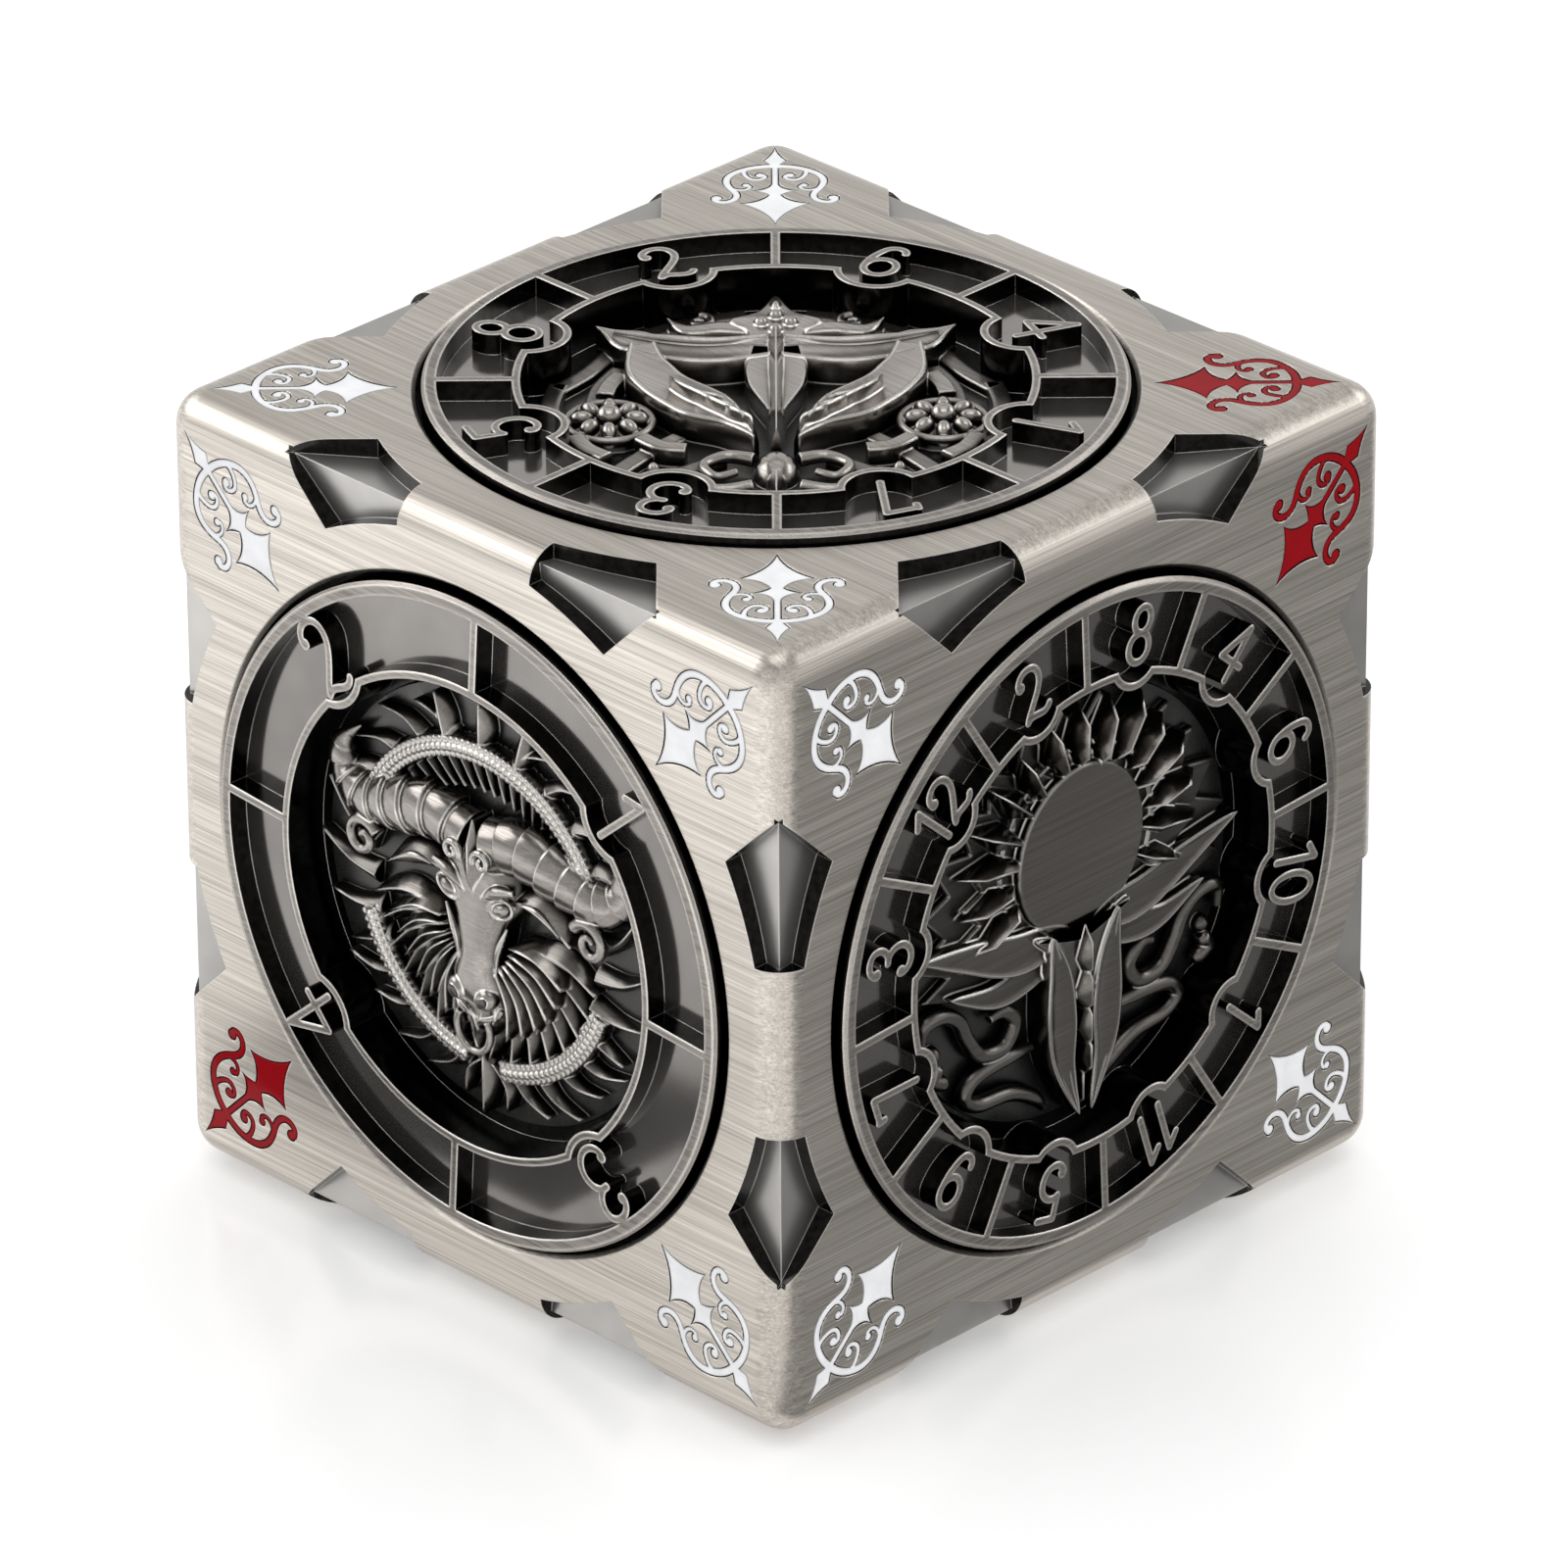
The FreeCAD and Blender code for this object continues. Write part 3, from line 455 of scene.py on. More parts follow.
class Relief:
    """Builds one medallion's mesh in its face's millimetres, z from the base surface."""

    def __init__(self):
        self.bm = bmesh.new()

    def strip(self, rows, slot=CAST):
        """Closed skin through neighbouring loops of points, with a cap at each end."""
        verts = [[self.bm.verts.new(p) for p in row] for row in rows]
        width = len(rows[0])
        for a, b in zip(verts, verts[1:]):
            for i in range(width):
                j = (i + 1) % width
                self.bm.faces.new((a[i], a[j], b[j], b[i])).material_index = slot
        self.bm.faces.new(list(reversed(verts[0]))).material_index = slot
        self.bm.faces.new(verts[-1]).material_index = slot

    def plate(self, points, top, bevel=0.12, steps=2, low=SUNK, slot=CAST):
        """A raised flat shape with rounded upper edges."""
        pts = [Vector(p[:2]) for p in points]
        rows = [[(p.x, p.y, low) for p in pts], [(p.x, p.y, top - bevel) for p in pts]]
        for i in range(1, steps + 1):
            a = math.pi / 2 * i / steps
            ring = inset(pts, bevel * (1 - math.cos(a)))
            rows.append([(p.x, p.y, top - bevel + bevel * math.sin(a)) for p in ring])
        self.strip(rows, slot=slot)

    def tube(self, path, radius, sides=12, squash=1.0):
        """Round bar along a line; radius is a number or a function of 0..1 along it."""
        pts = [Vector(p) for p in path]
        last = len(pts) - 1
        rows = []
        for i, p in enumerate(pts):
            ahead = (pts[min(i + 1, last)] - pts[max(i - 1, 0)])
            ahead.z = 0
            ahead.normalize()
            side = Vector((-ahead.y, ahead.x, 0))
            r = radius(i / last) if callable(radius) else radius
            angles = [2 * math.pi * k / sides for k in range(sides)]
            rows.append([p + side * (r * math.cos(a)) + Vector((0, 0, squash * r * math.sin(a)))
                         for a in angles])
        self.strip(rows)

    def blade(self, path, width, height, ridge=0.0, z=0.0):
        """Leaf along a line with a raised middle; width is a function of 0..1."""
        profile = ((-1, 0.0), (-0.97, 0.35), (-0.5, 0.78), (0, 1.0 + ridge),
                   (0.5, 0.78), (0.97, 0.35), (1, 0.0))
        rows = []
        for t, p, side in along(path):
            half = max(width(t), 0.01) / 2
            rows.append([(p.x + side.x * half * s, p.y + side.y * half * s, z + height * h if h else SUNK)
                         for s, h in profile])
        self.strip(rows)

    def ribbon(self, path, width, top, bevel=0.12, dish=0.0):
        """Flat-topped band with a bevelled edge; dish sinks its middle between two raised borders."""
        rows = []
        for t, p, side in along(path):
            half = max(width(t) if callable(width) else width, 0.02) / 2
            cut = min(bevel, 0.4 * half)
            border = min(0.16, 0.3 * half)
            sunk = dish * min(1.0, half / 0.5)
            profile = [(half, SUNK), (half, top - cut), (half - 0.3 * cut, top - 0.3 * cut),
                       (half - cut, top), (half - cut - border, top - sunk)]
            profile += [(-x, z) for x, z in reversed(profile)]
            rows.append([(p.x + side.x * x, p.y + side.y * x, z) for x, z in profile])
        self.strip(rows)

    def loft(self, path, width, height):
        """Rounded mass along a line; width and height are functions of 0..1."""
        round_to, sides = 0.6, 16       # a lower power of the sine squares the mass off more
        rows = []
        for t, p, side in along(path):
            half, rise = width(t) / 2, height(t)
            row = [(p.x + side.x * half, p.y + side.y * half, SUNK)]
            for k in range(sides + 1):
                a = math.pi * k / sides
                x = half * math.cos(a)
                row.append((p.x + side.x * x, p.y + side.y * x, rise * math.sin(a) ** round_to))
            row.append((p.x - side.x * half, p.y - side.y * half, SUNK))
            rows.append(row)
        self.strip(rows)

    def dome(self, x, y, rx, ry, height, turn=0.0, z=0.0, rings=5, sides=20):
        """Low rounded boss."""
        rows = []
        for i in range(rings + 1):
            a = math.pi / 2 * i / rings
            k = max(math.cos(a), 0.02)
            rows.append(at(oval_line(x, y, rx * k, ry * k, turn, sides), z + height * math.sin(a)))
        rows.insert(0, at(rows[0], SUNK))
        self.strip(rows)

    def crystal(self, tip_in, tip_out, width, height, z=0.0):
        """Kite-shaped facetted point with a ridge."""
        a, b = Vector(tip_in), Vector(tip_out)
        ahead = (b - a).normalized()
        side = Vector((-ahead.y, ahead.x)) * (width / 2)
        middle = a.lerp(b, 0.42)
        base = [a, middle + side, b, middle - side]
        low = [self.bm.verts.new((p.x, p.y, SUNK)) for p in base]
        edge = [self.bm.verts.new((p.x, p.y, z + height * 0.25)) for p in base]
        ridge = [self.bm.verts.new((p.x, p.y, z + height)) for p in (a.lerp(b, 0.22), a.lerp(b, 0.72))]
        for i in range(4):
            j = (i + 1) % 4
            self.bm.faces.new((low[i], low[j], edge[j], edge[i]))
        self.bm.faces.new(list(reversed(low)))
        self.bm.faces.new((edge[0], ridge[0], edge[3]))
        self.bm.faces.new((edge[0], edge[1], ridge[0]))
        self.bm.faces.new((edge[1], ridge[1], ridge[0]))
        self.bm.faces.new((edge[1], edge[2], ridge[1]))
        self.bm.faces.new((edge[2], edge[3], ridge[1]))
        self.bm.faces.new((edge[3], ridge[0], ridge[1]))

    def base(self, radius):
        """The base disc with its spigot, its upper surface at z = 0."""
        chamfer = 0.04
        rings = ((SPIGOT_R, -MEDAL_BASE - SPIGOT), (SPIGOT_R, -MEDAL_BASE), (radius, -MEDAL_BASE),
                 (radius, -chamfer), (radius - chamfer, 0.0))
        self.strip([at(oval_line(0, 0, r, r, count=96), z) for r, z in rings], slot=WELL)

    def finish(self, name, face, materials):
        """Makes the object and hands it to the frame in place of the CAD medallion."""
        bm = self.bm
        bmesh.ops.recalc_face_normals(bm, faces=bm.faces)
        height = bm.verts.layers.float.new("relief_height")
        for vert in bm.verts:
            vert[height] = vert.co.z
        mesh = bpy.data.meshes.new(name)
        bm.transform(face_matrix(face) @ Matrix.Translation((0, 0, BASE_TOP)))
        bm.to_mesh(mesh)
        bm.free()
        obj = add_object(name, mesh)
        for material in materials:
            mesh.materials.append(material)
        sharpen(obj, 38)
        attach(obj, "spinner_" + face)
        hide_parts("medallion_" + face)


def arc_line(cx, cy, rx, ry, start, end, count=24):
    """Points along an oval arc; angles in degrees, anticlockwise from +X."""
    return [(cx + rx * math.cos(math.radians(start + (end - start) * i / count)),
             cy + ry * math.sin(math.radians(start + (end - start) * i / count))) for i in range(count + 1)]


def spiral(cx, cy, r_out, r_in, start, turns, count=28):
    """Spiral from the outside in; turns may be negative for clockwise."""
    line = []
    for i in range(count + 1):
        t = i / count
        a = math.radians(start) + 2 * math.pi * turns * t
        r = r_out + (r_in - r_out) * t
        line.append((cx + r * math.cos(a), cy + r * math.sin(a)))
    return line


def leaf_width(widest, where=0.45):
    """Width along a leaf: pointed at both ends."""
    def width(t):
        if t < where:
            return widest * math.sin(math.pi / 2 * t / where) ** 0.8
        return widest * math.cos(math.pi / 2 * (t - where) / (1 - where)) ** 0.9
    return width


def through(*pairs):
    """A smooth function that passes through (position, value) pairs, positions rising from 0 to 1."""
    def value(t):
        for (t0, v0), (t1, v1) in zip(pairs, pairs[1:]):
            if t <= t1:
                k = (t - t0) / (t1 - t0)
                return v0 + (v1 - v0) * k * k * (3 - 2 * k)
        return pairs[-1][1]
    return value


def oval_line(x, y, rx, ry, turn=0.0, count=24):
    """Closed oval outline, turned anticlockwise by degrees."""
    a0 = math.radians(turn)
    line = []
    for i in range(count):
        t = 2 * math.pi * i / count
        px, py = rx * math.cos(t), ry * math.sin(t)
        line.append((x + px * math.cos(a0) - py * math.sin(a0), y + px * math.sin(a0) + py * math.cos(a0)))
    return line


def hoop(relief, radius, z, thickness, count, sides=8):
    """A whole ring about the middle."""
    relief.tube(at(arc_line(0, 0, radius, radius, 0, 360, count), z), thickness, sides=sides)


def ray(relief, angle, low, high, width, height, z):
    """A straight crystal that points outwards."""
    tip_in, tip_out = turn_points([(0, low), (0, high)], angle)
    relief.crystal(tip_in, tip_out, width, height, z=z)


def taper(start, end=0.02, power=1.0):
    """A function of 0..1 that goes from one value to another."""
    return lambda t: start + (end - start) * t ** power


# ---------------------------------------------------------------- medallions
def scaled_ring(relief, radius, thickness, z, start, end):
    """Part of a ring covered with three rows of overlapping round scales."""
    relief.tube(at(arc_line(0, 0, radius, radius, start, end, 60), z), thickness, squash=0.9)
    length = math.radians(abs(end - start)) * radius
    count = int(length / (thickness * 0.62))
    for i in range(count):
        for row in range(3):
            shift = 0.5 * (row % 2)
            a = start + (end - start) * (i + shift + 0.2) / count
            across = (row - 1) * 0.62
            r = radius + across * thickness
            lift = z + thickness * 0.9 * math.sqrt(max(0.0, 1 - across ** 2)) - 0.05
            x, y = polar(r, a)
            relief.dome(x, y, thickness * 0.36, thickness * 0.30, 0.13, turn=a + 90, z=lift,
                        rings=2, sides=8)


def claw(relief, angle, r_low, r_high, width, bend, height):
    """Curved pointed flame standing outwards from a ring."""
    middle = (r_low + r_high) / 2
    line = [polar(r, 90 - angle - swing)
            for r, swing in ((r_low, 0.0), (middle, bend * 0.35), (r_high, bend))]
    relief.blade(smooth_line(line, 5), taper(width, 0.03, 1.2), height)


def beast_horn(relief, side):
    """Thick ringed horn that sweeps out and turns up to a point, with a curl below it."""
    radius = through((0, 1.2), (0.25, 1.34), (0.5, 1.14), (0.75, 0.72), (1, 0.05))
    bands = 11

    def ringed(t):
        step = (t * bands) % 1.0
        return radius(t) * (1 - 0.17 * step ** 1.6)
    path = [(0.6, 3.1, 0.5), (2.5, 3.55, 0.55), (4.7, 3.15, 0.55), (6.5, 2.75, 0.5), (7.9, 3.4, 0.45),
            (8.05, 4.7, 0.5), (7.0, 5.75, 0.55)]
    relief.tube(smooth_line(side(path), 26), ringed, sides=24, squash=0.8)
    curl = spiral(6.5, 1.05, 0.95, 0.12, 150, -1.35)
    relief.tube(at(side(curl), 1.0), taper(0.3, 0.15), sides=10)


def beast_head(relief):
    """Front view of an ox's head: broad brow, narrow nose bridge, wide muzzle with a ring."""
    middle_line = [(0, 3.7 - 9.0 * i / 40) for i in range(41)]
    head_w = through((0, 2.2), (0.13, 4.1), (0.3, 4.7), (0.47, 3.0), (0.62, 2.3), (0.76, 3.0),
                     (0.87, 3.3), (0.96, 2.2), (1, 0.8))
    head_h = through((0, 0.8), (0.28, 1.22), (0.5, 1.28), (0.8, 1.5), (0.94, 1.1), (1, 0.5))
    relief.loft(middle_line, head_w, head_h)
    relief.crystal((0, 0.9), (0, 4.3), 1.25, 0.45, z=1.05)
    for s in (1, -1):
        side = mirrored(s)
        brow = smooth_line(side([(0.5, 0.9), (1.3, 1.45), (2.3, 1.75)]), 8)
        relief.tube(at(brow, 1.12), through((0, 0.1), (0.5, 0.3), (1, 0.12)), sides=10)
        relief.dome(s * 1.5, 0.72, 0.5, 0.3, 0.3, turn=s * 22, z=1.0)
        lid = oval_line(s * 1.5, 0.72, 0.68, 0.42, s * 22)
        relief.tube(at(lid + lid[:1], 1.06), 0.085, sides=8)
        crease = smooth_line(side([(1.75, -0.1), (1.2, -1.4), (1.05, -2.5)]), 8)
        relief.tube(at(crease, 1.0), through((0, 0.05), (0.4, 0.17), (1, 0.05)), sides=8)
        relief.dome(s * 0.78, -3.55, 0.58, 0.48, 0.34, turn=s * 30, z=1.28)
        relief.plate(oval_line(s * 0.82, -3.6, 0.3, 0.2, s * 40), 1.66, bevel=0.03, low=1.3, slot=WELL)
        ear = smooth_line(side([(2.1, 1.25), (3.6, 1.35), (5.3, 0.35)]), 8)
        relief.blade(ear, leaf_width(1.5), 1.0)
        relief.tube(at(ear[3:-3], 1.06), through((0, 0.04), (0.5, 0.16), (1, 0.04)), sides=8)
        forelock = spiral(0.85, 2.75, 0.5, 0.08, 200, -1.3)
        relief.tube(at(side(forelock), 1.5), taper(0.18, 0.1), sides=8)
    lip = arc_line(0, -3.3, 1.55, 1.45, 205, 335, 20)
    relief.tube(at(lip, 1.0), 0.14, sides=8)
    ring = arc_line(0, -5.15, 0.95, 1.0, 145, 395, 26)
    relief.tube(at(ring, 1.25), 0.17, sides=10)


def beast_mane(relief, side):
    """Pointed locks that fan out from under the ear, in two overlapping rows."""
    for row, (near, far, rise) in enumerate(((2.4, 6.3, 0.62), (1.7, 4.9, 0.95))):
        for k in range(8):
            a = math.radians(-2 - 11.5 * k - 5 * row)
            tip_a = a - math.radians(7)
            base = (near * math.cos(a) + 0.3, near * math.sin(a) - 0.6)
            tip = (far * math.cos(tip_a) + 0.2, far * math.sin(tip_a) - 0.5)
            bow = ((base[0] + tip[0]) / 2 + 0.35 * math.cos(a + 1.4),
                   (base[1] + tip[1]) / 2 + 0.35 * math.sin(a + 1.4))
            relief.blade(smooth_line(side([base, bow, tip]), 6), leaf_width(1.1, 0.4), rise, ridge=0.25)


def horned_beast(relief):
    """Ox head with great ringed horns inside a scaled ring with flames."""
    for start, end in ((22, 158), (200, 262), (278, 340)):
        scaled_ring(relief, 7.0, 0.52, 0.35, start, end)
    # ribs inside the ring, over the horns
    for i in range(17):
        a = 40 + 100 * i / 16
        rib = [polar(r, a - s) for r, s in ((6.45, 0), (5.9, 2), (5.2, 6))]
        relief.blade(smooth_line(rib, 4), taper(0.62, 0.06), 0.42)
    # flames outside the ring
    for first, last, count, low, high in ((-58, 58, 9, 7.4, 9.3), (132, 228, 9, 7.3, 9.3)):
        for i in range(count):
            angle = first + (last - first) * i / (count - 1)
            if abs((angle + 90) % 180 - 90) > 9:
                bend = 11 if (angle > 180 or 0 < angle < 90) else -11
                claw(relief, angle, low, high - 0.35 * (i % 2), 0.95, bend, 0.6)
    for s in (1, -1):
        for k, (angle, reach) in enumerate(((84, 9.3), (97, 9.4), (110, 9.2), (121, 8.9))):
            claw(relief, s * angle, 6.4, reach, 1.1, s * (-12 + 3 * k), 0.65)
    # fan of leaves at the top and the pendant at the bottom
    for angle in (-16, 0, 16):
        leaf = turn_points([(0, 7.1), (0, 8.2), (0, 9.35)], angle)
        relief.blade(smooth_line(leaf, 5), leaf_width(1.05), 0.75)
    relief.blade(smooth_line([(0, -6.5), (0, -7.8), (0, -9.3)], 6), leaf_width(1.1), 0.85)
    for s in (1, -1):
        side = mirrored(s)
        beast_mane(relief, side)
        lock = side([(0.3, -6.9), (1.1, -7.7), (1.2, -8.8)])
        relief.blade(smooth_line(lock, 6), leaf_width(0.75), 0.65)
        beast_horn(relief, side)
    beast_head(relief)


def crystal_crown(relief):
    """Brushed orb with a crown of crystals over a lotus: side petals, two long blades, a bud and tendrils."""
    rays = random.Random(12)
    # low facetted sunburst behind, in two steps
    outline = []
    for i in range(30):
        x, y = polar((9.2 if i % 2 else 7.6) - 0.5 * rays.random(), -14 + 208 * i / 29)
        outline.append((x, max(y + 0.2, -1.3)))
    foot = [(-5.2, -2.4), (0, -3.2), (5.2, -2.4)]
    relief.plate(outline + foot, 0.38, bevel=0.08, steps=1)
    step = [(x * 0.76, y * 0.76 + 0.35) for x, y in outline] + [(-3.6, -1.4), (3.6, -1.4)]
    relief.plate(step, 0.62, bevel=0.08, steps=1)
    relief.plate(oval_line(0, 2.75, 3.6, 3.75, count=64), 1.0, bevel=0.14, steps=3)
    relief.tube(at(arc_line(0, 2.75, 4.35, 4.5, 205, -25, 44), 0.64), 0.09, sides=8)
    # crystals round the orb
    for i in range(15):
        angle = -112 + 16 * i
        tall = 0.55 + 0.45 * rays.random()
        direction = Vector(polar(1, 90 - angle))
        across = Vector((-direction.y, direction.x))
        centre = Vector((0, 2.6))
        low = 3.35 + 0.5 * rays.random()
        high = min(5.6 + 1.7 * tall, 9.2 - centre.y * direction.y)
        lean = across * (0.5 * rays.random() - 0.25)
        relief.crystal(centre + direction * low + lean, centre + direction * high, 0.75 + 0.5 * tall,
                       0.95, z=0.5)
    for s in (1, -1):
        side = mirrored(s)
        petals = (([(0.6, -0.7), (3.4, -0.75), (6.2, 0.1), (9.1, 1.0)], 1.9, 1.0),
                  ([(0.6, -1.0), (2.8, -1.9), (4.8, -2.2), (7.3, -1.4)], 1.6, 0.85))
        for line, wide, top in petals:
            relief.ribbon(smooth_line(side(line), 10), leaf_width(wide, 0.3), top, bevel=0.12, dish=0.1)
        blade = smooth_line(side([(1.9, -0.5), (1.45, -2.4), (1.3, -4.6), (1.15, -6.6), (0.35, -9.1)]), 8)
        relief.ribbon(blade, leaf_width(1.7, 0.5), 1.3, bevel=0.14, dish=0.12)
        # tendrils
        lines = (
            [(8.6, -3.3), (8.5, -2.3), (7.4, -2.2), (6.5, -2.8), (6.0, -3.8), (5.2, -4.8), (3.9, -4.9),
             (3.3, -4.0), (3.9, -3.3), (4.7, -3.4)],
            [(2.3, -5.6), (3.8, -5.5), (5.6, -5.7), (6.2, -6.4), (5.4, -7.0), (3.6, -7.2), (2.2, -7.9),
             (1.6, -8.6)],
            [(7.6, -4.3), (8.0, -4.9), (7.2, -5.3)])
        thickness = through((0, 0.2), (0.15, 0.36), (0.85, 0.36), (1, 0.2))
        for line in lines:
            relief.tube(at(smooth_line(side(line), 8), 0.36), thickness, sides=14, squash=1.05)
        relief.dome(s * 7.8, -3.9, 0.42, 0.42, 0.55)
    # cup under the orb and the bud between the blades
    cup = [(-2.7, -0.4), (0, -1.1), (2.7, -0.4), (1.2, -2.0), (0, -4.2), (-1.2, -2.0)]
    relief.plate(smooth_line(cup, 6, closed=True), 1.15, bevel=0.12, steps=3)
    for high, low, wide in ((-0.6, -3.0, 1.0), (-2.2, -4.6, 1.2), (-3.9, -6.2, 0.8), (-5.4, -7.4, 0.5)):
        relief.crystal((0, low), (0, high), wide, 0.55, z=1.1)
    relief.crystal((0, -6.8), (0, -9.3), 0.8, 0.9, z=0.3)


class Turned:
    """Draws on a relief with everything turned clockwise about its middle."""

    def __init__(self, relief, degrees):
        self.relief = relief
        self.degrees = degrees

    def turned(self, points):
        return turn_points([tuple(p) for p in points], self.degrees)

    def plate(self, points, top, **settings):
        self.relief.plate(self.turned(points), top, **settings)

    def ribbon(self, points, width, top, **settings):
        self.relief.ribbon(self.turned(points), width, top, **settings)

    def blade(self, points, width, height, **settings):
        self.relief.blade(self.turned(points), width, height, **settings)

    def tube(self, points, radius, z, **settings):
        self.relief.tube(self.turned(at(points, z)), radius, **settings)

    def dome(self, x, y, rx, ry, height, spin=0.0, **settings):
        (cx, cy), = self.turned([(x, y)])
        self.relief.dome(cx, cy, rx, ry, height, turn=spin - self.degrees, **settings)


def rosette(draw, x, y, radius):
    """Domed flower with eight petals, a button and a border."""
    draw.dome(x, y, radius, radius, 0.6)
    for k in range(8):
        a = 2 * math.pi * k / 8
        draw.dome(x + 0.62 * radius * math.cos(a), y + 0.62 * radius * math.sin(a),
                  0.3 * radius, 0.19 * radius, 0.42, spin=math.degrees(a), z=0.62)
    draw.dome(x, y, 0.3 * radius, 0.3 * radius, 0.45, z=0.85)
    border = oval_line(x, y, radius, radius, count=32)
    draw.tube(border + border[:1], 0.17, 0.55)


def crest_side(draw, sign):
    """One side of the winged crest."""
    side = mirrored(sign)
    # low pierced web that ties everything to the rim
    for line, wide in (([(1.2, 8.7), (3.6, 7.9), (5.9, 6.4)], 0.9),
                       ([(8.8, 2.2), (9.1, 0.0), (8.6, -2.6)], 0.8),
                       ([(7.6, -4.9), (5.6, -7.0), (2.6, -8.6), (0.0, -8.9)], 0.9),
                       ([(6.3, 5.9), (7.6, 3.4), (8.8, 1.8)], 0.8),
                       ([(2.2, -4.6), (3.6, -5.6), (5.8, -6.6)], 0.8),
                       ([(7.3, 0.4), (7.0, 2.0), (6.3, 3.6)], 0.9),
                       ([(3.9, -2.6), (5.3, -4.2), (6.4, -5.8)], 0.8)):
        draw.ribbon(smooth_line(side(line), 8), wide, 0.42, bevel=0.1)
    # wing: upper arc, outer feather and inner keel leave a leaf-shaped opening
    upper = smooth_line(side([(0.2, 4.2), (2.4, 3.9), (4.6, 4.3), (6.0, 5.0), (7.3, 6.1)]), 10)
    draw.ribbon(upper, through((0, 1.5), (0.35, 2.2), (0.7, 1.9), (1, 0.05)), 1.15, bevel=0.16, dish=0.1)
    outer = side([(5.4, 4.4), (5.2, 2.4), (4.5, 0.7), (3.2, -0.9), (1.9, -2.4), (0.9, -4.3)])
    outer = smooth_line(outer, 10)
    draw.ribbon(outer, through((0, 1.2), (0.3, 2.1), (0.62, 2.5), (1, 0.05)), 1.25, bevel=0.16, dish=0.1)
    keel = smooth_line(side([(0.45, 4.3), (0.75, 2.3), (0.6, 0.4), (0.3, -1.4)]), 8)
    draw.ribbon(keel, through((0, 1.2), (0.5, 0.9), (1, 0.1)), 1.05, bevel=0.14)
    # feathers over the wing's lower edge
    for k in range(4):
        quill = smooth_line(side([(4.3 - 0.75 * k, 0.3 - 0.9 * k), (3.2 - 0.7 * k, -1.0 - 0.75 * k),
                                  (2.0 - 0.35 * k, -1.5 - 0.8 * k)]), 6)
        draw.blade(quill, leaf_width(0.7, 0.5), 1.5, ridge=0.15)
    fold = smooth_line(side([(6.6, 5.6), (4.6, 4.9), (2.6, 4.6), (0.4, 5.0)]), 8)
    draw.tube(fold, through((0, 0.05), (0.5, 0.2), (1, 0.12)), 1.15)
    # hooks beside the finial
    hook = smooth_line(side([(1.0, 6.3), (2.3, 6.5), (3.6, 6.3), (4.4, 7.2)]), 8)
    draw.ribbon(hook, through((0, 1.0), (0.6, 0.9), (1, 0.05)), 0.95, bevel=0.14)
    draw.tube(spiral(sign * 3.1, 7.5, 0.6, 0.1, 90, 1.2 * sign), taper(0.2, 0.1), 0.6)
    rosette(draw, sign * 6.7, -1.6, 1.75)
    for line in ([(6.9, 0.6), (6.7, 1.5), (6.3, 2.4)], [(5.4, -3.3), (4.6, -4.1), (3.6, -4.3)],
                 [(8.0, -3.2), (7.6, -4.2), (6.8, -5.0)]):
        draw.ribbon(smooth_line(side(line), 6), 0.75, 0.8, bevel=0.12)
    # scrolls at the foot
    for line in ([(0.9, -5.2), (2.0, -4.9), (2.9, -5.7), (2.4, -6.7), (1.6, -6.3)],
                 [(1.0, -7.6), (2.2, -7.9), (3.6, -7.4), (4.3, -6.5)]):
        draw.tube(smooth_line(side(line), 8), taper(0.3, 0.16), 0.6)
    draw.dome(sign * 4.9, -5.8, 0.36, 0.36, 0.8)


def winged_crest(relief):
    """Symmetric crest with pierced wings, rosettes, a drop and scrolls; its top points up-left."""
    draw = Turned(relief, -45)
    for sign in (1, -1):
        crest_side(draw, sign)
    finial = [(0, 9.2), (0.75, 7.7), (1.9, 6.9), (1.2, 5.9), (0.9, 4.6), (-0.9, 4.6), (-1.2, 5.9),
              (-1.9, 6.9), (-0.75, 7.7)]
    draw.plate(smooth_line(finial, 6, closed=True), 1.05, bevel=0.14, steps=3)
    for x, y in ((0, 7.1), (-0.6, 6.45), (0.6, 6.45), (0, 5.8)):
        draw.dome(x, y, 0.32, 0.32, 0.35, z=1.0)
    draw.dome(0, 8.1, 0.22, 0.4, 0.3, z=0.95)
    draw.blade([(0, 5.2 - 9.4 * i / 16) for i in range(17)], lambda t: 1.3 - 0.8 * t, 1.4, ridge=0.1)
    draw.dome(0, -5.6, 0.95, 1.25, 0.9, z=0.1)
    draw.blade([(0, -6.6), (0, -7.4), (0, -8.4)], taper(0.8, 0.1), 0.9)


def compass_star(relief):
    """Six-pointed facetted star over a ring of leaves."""
    for i in range(24):
        line = turn_points([(0, 6.2), (0.25, 7.3), (0, 8.7)], 15 * i + 7.5)
        relief.blade(smooth_line(line, 5), leaf_width(1.1), 0.6, ridge=0.2)
    hoop(relief, 5.9, 0.35, 0.22, 72)
    for i in range(6):
        ray(relief, 60 * i + 30, 0.3, 6.6, 1.9, 0.6, 0.35)
    for i in range(6):
        ray(relief, 60 * i, 0.2, 8.7, 2.5, 0.8, 0.5)
    hoop(relief, 3.0, 0.9, 0.26, 48, sides=10)
    relief.dome(0, 0, 1.9, 1.9, 0.6, z=1.0)


